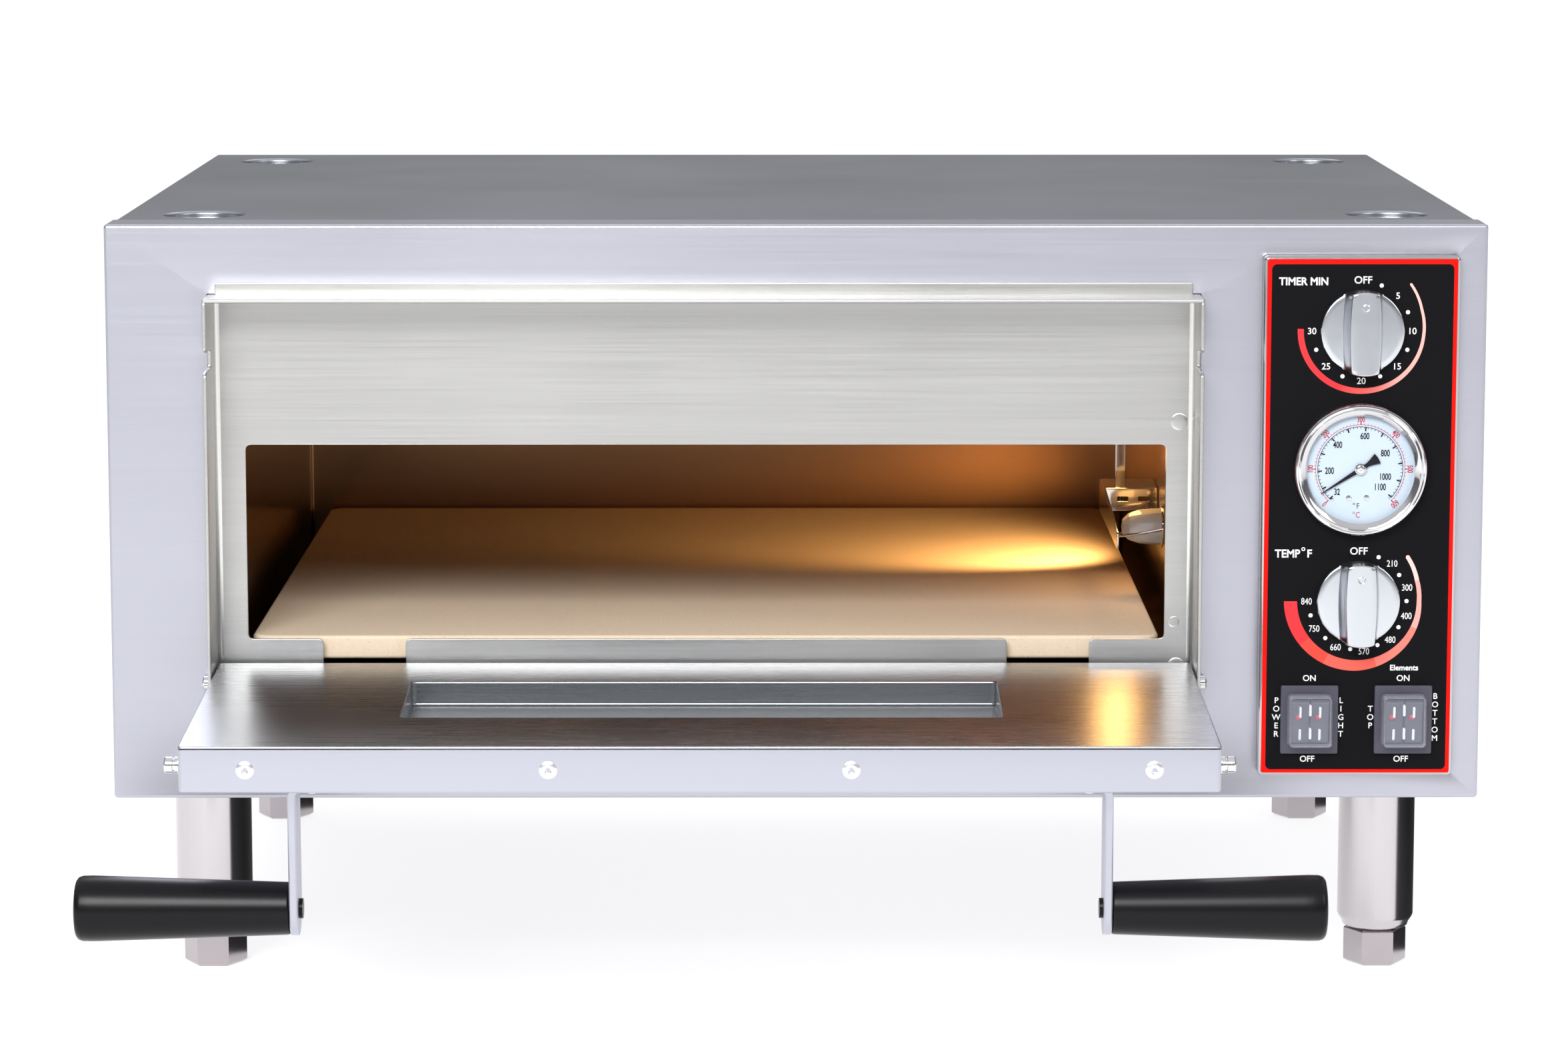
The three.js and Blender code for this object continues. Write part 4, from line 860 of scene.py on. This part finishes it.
def add_label():
    """Red and black printed label with its lettering, dots and the two graded bands."""
    holes = panel_holes()
    board = front(LABEL_Y)
    label = Surface()
    label.plate(board, [rounded(237.5, 333.6, 119.2, 382.4, 1.0, 3)] + holes, 0, 0.35, 0.08)
    label.plate(board, [rounded(239.7, 331.6, 121.0, 379.8, 2.6, 8)] + holes, -0.06, 0.1, 0.03, look=1)
    label.finish("printed_label", "red label", "control_print",
                 replaces=["control_label"])
    ink = Surface()
    up = -0.10

    def write(words, x, z, height, **how):
        lettering(ink, board, words, (PANEL_X + x, z), height, up, **how)

    write("TIMER MIN", -42.2, TIMER_Z + 25.2, 3.8, weight=0.022, align="LEFT", squeeze=0.94)
    write("TEMP", -42.4, HEAT_Z + 24.6, 3.9, weight=0.022, align="LEFT", squeeze=0.94)
    write("o", -28.0, HEAT_Z + 27.3, 2.7, weight=0.01)
    write("F", -26.2, HEAT_Z + 24.6, 3.9, weight=0.022, align="LEFT")
    for z in (TIMER_Z, HEAT_Z):
        write("OFF", 0.2, z + 25.9, 3.6, weight=0.012)
    for i in range(6):
        at = around((0, 0), 25.3, 45.0 * (i + 1))
        write(str(5 * (i + 1)), at[0], TIMER_Z + at[1], 3.2, weight=0.006)
    marks = ("210", "300", "400", "480", "570", "660", "750", "840")
    for i, word in enumerate(marks):
        at = around((0, 0), 26.0, 41.5 + 32.65 * i)
        write(word, at[0], HEAT_Z + at[1], 3.3, squeeze=0.78)
    for step, first, count, z in ((45.0, 22.5, 6, TIMER_Z), (32.65, 24.5, 8, HEAT_Z)):
        for i in range(count):
            dot = around((PANEL_X, z), 24.9, first + step * i)
            ink.plate(board, [circle(dot, 1.05, 20)], up, up + 0.04, 0.01, 0.01, 1)
    for x in (-23.9, 23.9):
        write("ON", x, SWITCH_Z + 21.2, 3.0, weight=0.012)
        write("OFF", x - 0.6, SWITCH_Z - 20.6, 3.0, weight=0.012)
    write("Elements", 24.2, SWITCH_Z + 26.6, 2.75, weight=0.022)
    for word, x, pitch in (("POWER", -40.6, 4.35), ("LIGHT", -7.6, 4.35), ("TOP", 7.4, 4.35),
                           ("BOTTOM", 40.4, 4.35)):
        for i, letter in enumerate(word):
            write(letter, x, SWITCH_Z + 1.0 + ((len(word) - 1) / 2 - i) * pitch, 2.9, weight=0.008)
    ink.finish("printed_lettering", "white", "control_print")
    timer = Surface()
    band(timer, board, (PANEL_X, TIMER_Z), (46, 70, 95, 180, 272), (33.3, 31.2, 30.4, 29.0, 29.4),
         (34.6, 32.6, 32.0, 31.9, 32.5), up)
    stops = [(0.0, PALE[0]), (0.40, PALE[1]), (0.49, (0.84, 0.10, 0.08)), (0.56, PALE[5]), (1.0, PALE[5])]
    LOOKS["timer_band"] = dial_band("timer_band_print", (PANEL_X, TIMER_Z), stops, "LINEAR")
    timer.finish("timer_band", "timer_band", "control_print")
    heat = Surface()
    band(heat, board, (PANEL_X, HEAT_Z), (48, 70, 90, 180, 270), (32.8, 30.8, 30.1, 30.4, 30.8),
         (34.9, 33.0, 32.4, 35.8, 37.5), up)
    stops = [(0.0, PALE[0])] + [(a / 360, c) for a, c in zip((69, 115, 162, 208, 231), PALE[1:])]
    LOOKS["heat_band"] = dial_band("temperature_band_print", (PANEL_X, HEAT_Z), stops, "CONSTANT")
    heat.finish("temperature_band", "heat_band", "control_print")


# ------------------------------------------------------------------ controls
def add_control_plate():
    outer = rounded(*PLATE, 2.4, 6)
    profile = roll(2.0, 0.0, 6) + [(0.0, 9.75)]
    skin = Surface().sheet(front(-10.0), [(outer, profile)] + [(hole, [(0, 0)]) for hole in panel_holes()])
    skin.finish("control_pan", "plate", "stainless_casing", replaces=["control_plate"],
                wall=1.6, closed=False)
    dress("zinc", "zinc_steel", "timer_body", "thermostat_body")


def add_knob(name, z):
    """Round skirt with a barrel-sided bar across it. The bar's surface is a grid: across it, a
    section that rises from the skirt by a hollow curve to a slightly domed top; along it, rows
    that reach the circle u^2 + v^2 = R^2 and turn down over its edge."""
    reach, high, base = 21.2, 17.9, 4.3
    board = front(PLATE_FACE)
    skirt = [(3.4, -0.05), (20.6, -0.05), (21.1, -0.3), (21.2, -0.9), (21.2, -3.5), (20.9, -4.2),
             (20.3, -4.6), (18.0, -4.75), (3.4, -4.9)]
    knob = Surface().turned(board, (PANEL_X, z), skirt, 96, loop=True)
    t = np.linspace(0, math.pi / 2, 7)
    flare = np.column_stack([-(8.0 + 3.4 * (1 - np.sin(t))), base + 9.0 * (1 - np.cos(t))])
    wall = [(-8.0, base + 11.5), (-7.95, high - 0.9), (-7.65, high - 0.35), (-7.0, high)]
    crown = [(u, high + 0.1 * (1 - (u / 7) ** 2)) for u in (-4.5, -1.5)]
    half = np.vstack([flare, wall, crown])
    section = np.vstack([half, half[::-1] * (-1, 1)])
    rows = [(reach, 99.0), (reach, 0.9), (reach - 0.25, 0.35), (reach - 0.8, 0.0)]
    spans = [(-1, r, d) for r, d in rows]
    spans += [(t, reach - 0.8, 0.0) for t in np.linspace(-0.92, 0.92, 21)]
    spans += [(1, r, d) for r, d in rows[::-1]]
    share, radius, drop = (np.array(column)[:, None] for column in zip(*spans))
    u = section[None, :, 0] * (1 - 0.11 * share ** 2)
    v = share * np.sqrt(np.maximum(radius ** 2 - u ** 2, 0.0))
    height = np.maximum(section[None, :, 1] - drop, base - 0.2)
    points = board.at(np.stack([u + PANEL_X, v + z], -1), -height)
    rows_count, columns = u.shape
    under_face = np.concatenate([np.arange(rows_count) * columns,
                                 (np.arange(rows_count)[::-1] * columns) + columns - 1])
    knob.add(points, quads(rows_count, columns, closed=False), [under_face])
    ring = [(1.15, -high), (1.3, -high - 0.35), (1.6, -high - 0.45), (1.9, -high - 0.3), (2.0, -high),
            (1.6, -high + 0.2)]
    knob.turned(board, (PANEL_X, z + 13.4), ring, 32, loop=True)
    knob.finish(f"{name}_dial_knob", "satin", "knob_satin", f"{name}_knob", [f"{name}_knob"],
                keen=32)


def add_gauge():
    centre = (PANEL_X, GAUGE_Z)
    board = front(PLATE_FACE)
    case = [(30.0, 26.0), (29.0, 25.9), (27.0, 25.9), (27.0, 1.0), (29.4, -0.2), (29.4, -4.2),
            (27.6, -4.6), (27.5, -5.0), (28.2, -5.6), (29.6, -6.7), (30.4, -6.95), (31.2, -6.4),
            (31.6, -6.3), (32.2, -6.6), (32.8, -6.5), (33.4, -5.9), (33.8, -4.8), (33.8, -1.0),
            (33.5, -0.1), (30.0, 0.0)]
    bezel = Surface().turned(board, centre, case, 128, loop=True)
    bezel.turned(board, centre, [(0, 25.9), (28, 25.9), (28, 25.0), (0, 25.0)], 64)
    bezel.finish("gauge_bezel", "chrome", "bezel_chrome", replaces=["gauge_case"], keen=28)
    face = Surface().turned(board, centre, [(1.8, -1.8), (28.6, -1.8), (28.6, -0.8), (1.8, -0.8)], 96,
                            loop=True)
    print_dial(face, centre)
    face.finish("gauge_face", "dial ink red_ink", "dial_print",
                replaces=["gauge_dial"])
    heads = Surface()
    for x, z, r in ((-14.0, -15.5, 0.9), (-5.5, -14.9, 1.5), (3.5, -14.7, 1.5)):
        profile = [(0, 0.1), (r * 0.35, 0.1), (r * 0.4, -0.5), (r * 0.8, -0.45), (r, -0.1), (r, 0.3),
                   (0, 0.3)]
        heads.turned(front(GAUGE_FACE), (PANEL_X + x, GAUGE_Z + z), profile, 20)
    heads.finish("gauge_face_screws", "chrome", "dial_print")
    disc = [(0, -5.7), (24, -5.66), (29.1, -5.55), (29.1, -4.5), (0, -4.5)]
    lens = Surface().turned(board, centre, disc, 96)
    lens.finish("gauge_glass_disc", "lens", "window_glass", replaces=["gauge_lens"])
    add_pointer(centre)


def print_dial(face, centre):
    """Two scales of ticks, arcs and numbers. Black ones read in Fahrenheit at 4 degrees to each
    degree of angle, and red ones read in Celsius."""
    plane, up = front(GAUGE_FACE), -0.06

    def tick(angle, inner, outer, width, look):
        radial(face, plane, centre, angle, inner, outer, width, up, look)

    for i in range(55):
        tick(DIAL_START + 5 * i, 20.5, 21.6, 0.26, 1)
    for fahrenheit in [32] + list(range(100, 1200, 100)):
        tick(DIAL_START + (fahrenheit - 32) / 4, 19.4, 21.7, 0.7, 1)
    for i in range(61):
        major = i % 10 == 0
        tick(DIAL_START + 4.5 * i, 22.7, 23.8 if major else 23.4, 0.55 if major else 0.2, 2)
    for radius, look, width in ((21.7, 1, 0.3), (22.7, 2, 0.24)):
        at = np.linspace(-136, 132.5 if look == 1 else 136, 120)
        line = np.array([around(centre, radius, a) for a in at])
        inner = np.array([around(centre, radius - width, a) for a in at])
        face.plate(plane, [np.vstack([line[::-1], inner])], up, up + 0.04, 0.01, 0.01, 1, look=look)
    spots = ((32, 16.4), (200, 15.6), (400, 17.0), (600, 17.0), (800, 15.0), (1000, 13.2), (1100, 13.6))
    for value, radius in spots:
        at = around(centre, radius, DIAL_START + (value - 32) / 4)
        lettering(face, plane, str(value), at, 3.2, up, squeeze=0.66, weight=0.022, look=1)
    for i in range(7):
        angle = DIAL_START + 45 * i
        lettering(face, plane, str(100 * i), around(centre, 25.3, angle), 2.7, up, squeeze=0.68,
                  weight=0.016, spin=-angle, look=2)
    for word, z, look in (("F", -18.8, 1), ("C", -23.4, 2)):
        lettering(face, plane, word, (PANEL_X - 0.9, GAUGE_Z + z), 2.8, up, squeeze=0.8, look=look)
        lettering(face, plane, "o", (PANEL_X - 2.9, GAUGE_Z + z + 1.3), 1.7, up, look=look)


def radial(surface, plane, centre, angle, inner, outer, width, depth, look):
    """Tick printed along a dial's radius."""
    a, b = around(centre, inner, angle), around(centre, outer, angle)
    way = (b - a) / np.linalg.norm(b - a)
    side = np.array([way[1], -way[0]]) * width / 2
    corners = np.array([a - side, a + side, b + side, b - side])
    surface.plate(plane, [corners], depth, depth + 0.04, 0.008, 0.008, 1, look=look)


def add_pointer(centre):
    """Tapering blade with a fan-shaped tail, under a bright hub. Drawn along +u, then turned."""
    turn = math.radians(212.4)
    spin = np.array([[math.cos(turn), math.sin(turn)], [-math.sin(turn), math.cos(turn)]])
    fan = arc((0, 0), 10.6, 180 + 16, 180 - 16, 8)
    neck = [(-6.2, 1.5), (-4.0, 1.0), (-2.4, 1.1)]
    loop = np.vstack([[(2.0, -1.1), (23.4, -0.18), (23.4, 0.18), (2.0, 1.1)], neck[::-1], fan[::-1],
                      [(u, -v) for u, v in neck]])
    pointer = Surface().plate(front(-13.75), [loop @ spin + centre], 0, 0.5, 0.12, 0.12, 2)
    hub = [(0, -0.62), (0.45, -0.62), (0.5, -0.95), (1.6, -1.0), (2.1, -0.85), (2.35, -0.5), (2.8, -0.4),
           (2.85, 0.2), (1.5, 0.3), (1.5, 21.0), (0, 21.0)]
    pointer.turned(front(-13.75), centre, hub, 40, look=1)
    pointer.finish("gauge_pointer_blade", "pointer chrome", "pointer_black",
                   "gauge_pointer", ["gauge_pointer"])


def add_switch(kind, x, rockers):
    """Bezel, clear splash cover and two rockers with bright marks."""
    base = front(PLATE_FACE)
    mark, mark_zs = (0.75, 3.1, 0.68, 5), (5.6, -6.3)
    frame_piece = Surface()
    well = centred(x, SWITCH_Z, 10.0, 12.1, 0.6, 3)[::-1]
    outline = centred(x, SWITCH_Z, 14.65, 17.6, 0.8, 3)
    frame_piece.plate(base, [outline, well], -2.3, -0.05, 0.5, 0.1, 3)
    frame_piece.plate(base, [centred(x, SWITCH_Z, 13.2, 16.1, 0.8, 3), well], 0.0, 22.0, 0.1)
    frame_piece.plate(base, [centred(x, SWITCH_Z, 12, 14, 0.5, 2)], 12, 22, 0.1)
    frame_piece.plate(base, [centred(x, SWITCH_Z, 0.35, 12.0, 0.2, 2)], -3.4, 3, 0.1)
    for z in mark_zs:
        frame_piece.plate(base, [centred(x, SWITCH_Z + z, *mark)], -7.0, -3.2, 0.3, 0.1, 3, look=1)
    frame_piece.finish(f"{kind}_frame", "switch dash", "switch_plastic",
                       replaces=[f"{kind}_housing"])
    outer = centred(x, SWITCH_Z, 11.1, 13.2, 2.2, 6)
    shell = Surface().sheet(front(-21.4), [(outer, roll(1.6, 0.0, 5) + [(0.0, 7.4), (-0.25, 7.9)])])
    shell.finish(f"{kind}_splash_cover", "cover_clear", "switch_cover", replaces=[f"{kind}_cover"],
                 wall=0.7, closed=False)
    tilt = math.radians(9)
    wedge = [(-6.5, -11.0), (-1.5, -11.0), (4.0, -3.0), (4.0, 3.0), (-1.5, 11.0), (-6.5, 11.0), (-5.4, 0.0)]
    dot = [(0, -0.9), (0.9, -0.75), (1.5, -0.3), (1.7, 0.4), (0, 0.4)]
    for side, name in zip((-1, 1), rockers):
        centre_x = x + side * 5.0
        rocker = Surface()
        rocker.plate(right(centre_x + 4.6), [softened(wedge, 1.0, 4)], 0, 9.2, 0.35, 0.35, 3)
        for z in mark_zs:
            slope = -5.4 - 1.1 * abs(z) / 11
            rocker.plate(front(slope), [centred(centre_x, z, *mark)], -0.7, 0.5, 0.3, 0.1, 3, look=1)
        rocker.turned(front(-5.8), (centre_x - 0.9, 2.6), dot, 24, look=2)
        px, py, pz = np.vstack(rocker.points).T
        tilted = np.column_stack([px, py * math.cos(tilt) - pz * math.sin(tilt) - 9.7,
                                  py * math.sin(tilt) + pz * math.cos(tilt) + SWITCH_Z])
        rocker.points = [tilted]
        rocker.finish(f"{name}_key", "rocker dash neon", "switch_plastic", name,
                      [name])


# ------------------------------------------------------------------ supply entry at the back
def add_gland():
    board, centre = rear(BACK_FACE), GLAND
    gland = Surface()
    gland.turned(board, centre, [(4.5, -0.2), (12.4, -0.2), (13.5, -0.9), (13.5, -5.4), (12.4, -6.2),
                                 (4.5, -6.2)], 6, loop=True)
    gland.turned(board, centre, [(4.5, -6.1), (11.6, -6.1), (11.6, -7.4), (12.2, -7.8), (12.2, -15.5),
                                 (11.4, -18.0), (9.0, -21.0), (6.6, -23.2), (5.4, -23.3), (4.5, -22.6)], 16,
                 loop=True)
    gland.turned(board, centre, [(4.5, 14.0), (9.9, 14.0), (9.9, -0.1), (4.5, -0.1)], 40, loop=True)
    gland.finish("supply_gland", "gland", "gland_nylon", replaces=["cable_gland"], keen=25)


# ------------------------------------------------------------------ door
def add_door():
    """Drawn closed about its pivot and turned open: outer pan, inner panel with its recess, glass."""
    half, low, high = DOOR_HALF, DOOR_FOOT, DOOR_TOP
    window = (-147.0, 147.0, 35.6, 115.3)

    def grow(by, radius):
        return rounded(window[0] - by, window[1] + by, window[2] - by, window[3] + by, radius, 6)

    outer = rounded(-half, half, low, high, 2.0, 5)
    pan = Surface()
    opening = grow(0, 4.0)[::-1]
    pan.sheet(front(DOOR_OUT), [(outer, roll(1.6, 0.0, 5) + [(0.0, 21.3)]),
                                (opening, roll(0.8, 0.0, 3) + [(0, 2.2)])])
    pan.finish("door_pan", "door_outside", "door_steel", "door", ["door_outer_shell"], wall=1.15,
               door=True, closed=False)
    recess = grow(0, 2.6)[::-1]
    inner = Surface().sheet(rear(DOOR_IN), [(outer, roll(0.7, 0.0, 3) + [(0.0, 1.1)]),
                                            (recess, roll(0.9, 0.0, 4) + [(0.0, 11.2), (-0.5, 11.8)])])
    inner.finish("door_lining", "door", "door_steel", "door", ["door_inner_panel"], wall=1.0,
                 door=True, closed=False)
    glass = Surface().plate(front(-7.8), [grow(8, 4)], 0, 3.9, 0.5, 0.5, 2)
    glass.finish("door_window_pane", "window", "window_glass", "door", ["door_glass"], door=True)
    rivets = Surface()
    head = [(0, 0.1), (1.0, 0.1), (1.15, -0.3), (1.7, -0.72), (2.6, -0.78), (3.6, -0.5), (4.35, -0.1),
            (4.35, 0.3), (0, 0.3)]
    for x in (-216.6, -72.2, 72.2, 216.6):
        rivets.turned(top(high), (x, -3.0), head, 40)
    rivets.finish("door_edge_rivets", "rivet", "door_steel", "door", door=True)


GRIP_Y, GRIP_Z, GRIP_START, GRIP_END = -79.5, 145.4, 199.05, 303.05
STRAP_X, STRAP_HALF, STRAP_BACK, STRAP_BEND = 196.75, 13.0, -16.85, 4.0


def add_bracket(name, side):
    """Strap from the door's face, bent forward, with a round end on the grip's axis."""
    bracket = Surface()
    foot = [(STRAP_X - 16.0, STRAP_BACK), (STRAP_X - 4.5, STRAP_BACK)]
    bend = [(STRAP_X - STRAP_BEND + STRAP_BEND * math.sin(a), -20.85 + STRAP_BEND * math.cos(a))
            for a in np.linspace(0.1, 1.47, 8)]
    run = [(STRAP_X, v) for v in (-22.0, -50.0, GRIP_Y)]
    end = np.linspace(0.1, math.pi / 2, 14)
    tip = [(STRAP_X, GRIP_Y - STRAP_HALF * math.sin(a)) for a in end]
    spine = np.array(foot + bend + run + tip)
    width = np.concatenate([np.full(len(foot + bend + run), STRAP_HALF), STRAP_HALF * np.cos(end)])
    width = np.maximum(width, 0.02)
    soft = np.minimum(width, 0.6)
    t = 1.98
    ring = [(-t, -1), (-t + 0.6, -2), (t - 0.6, -2), (t, -1), (t, 1), (t - 0.6, 2), (-t + 0.6, 2), (-t, 1)]
    sections = np.array([[(a, math.copysign(w - (s if abs(b) == 1 else 0), b)) for a, b in ring]
                         for w, s in zip(width, soft)])
    path = np.column_stack([spine[:, 0] * side, spine[:, 1], np.full(len(spine), GRIP_Z)])
    bracket.swept(path, sections)
    for v in (-6.5, 6.5):
        screw(bracket, front(-18.8), (side * (STRAP_X - 9.5), GRIP_Z + v), 3.3, 1.6, look=1)
    bracket.finish(f"{name}_bracket_strap", "door_outside rivet", "door_steel", "door",
                   [f"{name}_handle_bracket"], door=True)


def add_handles():
    """Each side's bracket, barrel grip, pivot pin and latch pin."""
    start, end = GRIP_START, GRIP_END
    barrel = [(0, -193.0), (4.9, -193.0), (4.9, -start), (12.0, -start), (12.6, -start - 0.4),
              (12.8, -start - 1.2), (15.9, -end + 12), (16.0, -end + 8), (15.9, -end + 3.4),
              (15.2, -end + 1.4), (13.8, -end + 0.3), (12.0, -end), (0, -end)]
    for side, name, board in ((-1, "left", left(0)), (1, "right", right(0))):
        add_bracket(name, side)
        grip = Surface().turned(board, (GRIP_Y * side, GRIP_Z), barrel, 72)
        grip.finish(f"{name}_grip_barrel", "grip", "grip_plastic", "door", [f"{name}_grip"],
                    door=True, keen=50)
        for what, r, u, v in (("pivot", 3.6, 0.0, 0.0), ("latch", 3.95, -3.0, 166.4)):
            shaft = [(0, -236.6), (r, -236.6), (r, -251.0), (r - 0.7, -251.2), (r - 0.7, -252.0),
                     (r, -252.2), (r, -255.4), (r - 0.6, -256.1), (0, -256.1)]
            washer = [(r, -248.7), (r + 1.6, -248.7), (r + 1.6, -249.3), (r, -249.3)]
            pin = Surface().turned(board, (u * side, v), shaft, 32)
            pin.turned(board, (u * side, v), washer, 32, loop=True)
            pin.finish(f"{name}_{what}_pin_turned", "pin", "pin_steel", "door",
                       [f"{name}_{what}_pin"], door=True)


# ------------------------------------------------------------------ studio
def add_light(name, kind, location, power, colour=(1, 1, 1), target=None, **settings):
    """Light of one kind at a place in metres, turned to face its target."""
    data = bpy.data.lights.new(name, kind)
    for key, value in settings.items():
        setattr(data, key, value)
    data.energy = power
    data.color = colour
    lamp = bpy.data.objects.new(name, data)
    lamp.location = location
    if target:
        way = Vector(target) - Vector(location)
        lamp.rotation_euler = way.to_track_quat("-Z", "Y").to_euler()
    bpy.context.scene.collection.objects.link(lamp)


def add_sky():
    """World that is dark just above the horizon and pale higher up."""
    world = bpy.data.worlds.new("studio")
    world.use_nodes = True
    bpy.context.scene.world = world
    nodes, links = world.node_tree.nodes, world.node_tree.links
    air = nodes["Background"]
    air.inputs["Strength"].default_value = 1.0
    sky = nodes.new("ShaderNodeValToRGB")
    stops = ((0.0, 0.86), (0.02, 0.17), (0.30, 0.23), (0.55, 0.74), (1.0, 0.82))
    while len(sky.color_ramp.elements) < len(stops):
        sky.color_ramp.elements.new(0.5)
    for element, (height, level) in zip(sky.color_ramp.elements, stops):
        element.position = height
        element.color = (level * 0.96, level * 0.97, level, 1.0)
    parts = nodes.new("ShaderNodeSeparateXYZ")
    links.new(nodes.new("ShaderNodeTexCoord").outputs["Generated"], parts.inputs[0])
    links.new(parts.outputs[2], sky.inputs[0])
    links.new(sky.outputs[0], air.inputs["Color"])


def add_sheet(name, corners, material, seen=True):
    """Flat sheet of the studio; one that is not seen shows only in reflections."""
    mesh = bpy.data.meshes.new(name)
    mesh.from_pydata(corners, [], [(0, 1, 2, 3)])
    mesh.materials.append(material)
    sheet = bpy.data.objects.new(name, mesh)
    bpy.context.scene.collection.objects.link(sheet)
    if not seen:
        sheet.visible_camera = False
        sheet.visible_diffuse = False
        sheet.visible_shadow = False


def upright(x, near=-0.135, far=0.45, height=0.104):
    """Corners of a card that stands beside the legs."""
    return [(x, near, 0.0), (x, far, 0.0), (x, far, height), (x, near, height)]


def add_studio():
    bpy.context.scene.view_settings.view_transform = "Standard"
    add_sky()
    pale = Look("floor_white", (0.45, 0.45, 0.45), 0.9)
    pale.set("Emission Color", (1.0, 1.0, 1.0, 1.0))
    pale.set("Emission Strength", 0.76)
    add_sheet("floor", [(-9, -9, 0), (9, -9, 0), (9, 16, 0), (-9, 16, 0)], pale.material)
    for name, at, power, target, width, height in (
            ("key_softbox", (-0.5, -2.3, 1.6), 70, (0, 0, 0.2), 1.6, 0.9),
            ("fill_softbox", (2.2, -1.6, 1.6), 12, (0.1, 0, 0.25), 1.2, 1.2),
            ("rear_softbox", (0.0, 2.0, 2.4), 10, (0, 0.1, 0.3), 2.0, 1.0)):
        add_light(name, "AREA", at, power, target=target, shape="RECTANGLE", size=width, size_y=height)
    ahead = [(-3, -5.5, 0.004), (3, -5.5, 0.004), (3, -2.62, 0.004), (-3, -2.62, 0.004)]
    # black cards beside the legs, hidden from the camera, that paint dark reflections into the legs
    add_sheet("left_leg_flag", upright(-0.272), LOOKS["dark"], seen=False)
    add_sheet("right_leg_flag", upright(0.344), LOOKS["dark"], seen=False)
    add_sheet("front_flag", ahead, LOOKS["grey_card"], seen=False)
    add_light("chamber_lamp_glow", "SPOT", (0.182, (244.0 + SHIFT) * MM, 0.252), 2.2, (1.0, 0.56, 0.20),
              (0.105, (310.0 + SHIFT) * MM, 0.190), shadow_soft_size=0.008, spot_size=math.radians(92),
              spot_blend=0.8)
    add_light("lens_glow", "POINT", (0.176, (170.0 + SHIFT) * MM, 0.262), 0.10, (1.0, 0.55, 0.18),
              shadow_soft_size=0.01)


add_fascia()
add_cover()
add_casing_details()
add_legs()
add_bay()
add_chamber()
add_lamp()
add_control_plate()
add_label()
add_knob("timer", TIMER_Z)
add_knob("thermostat", HEAT_Z)
add_gauge()
add_switch("power_switch", SWITCH_XS[0], ("power_rocker", "light_rocker"))
add_switch("element_switch", SWITCH_XS[1], ("top_element_rocker", "bottom_element_rocker"))
add_gland()
add_door()
add_handles()
add_studio()
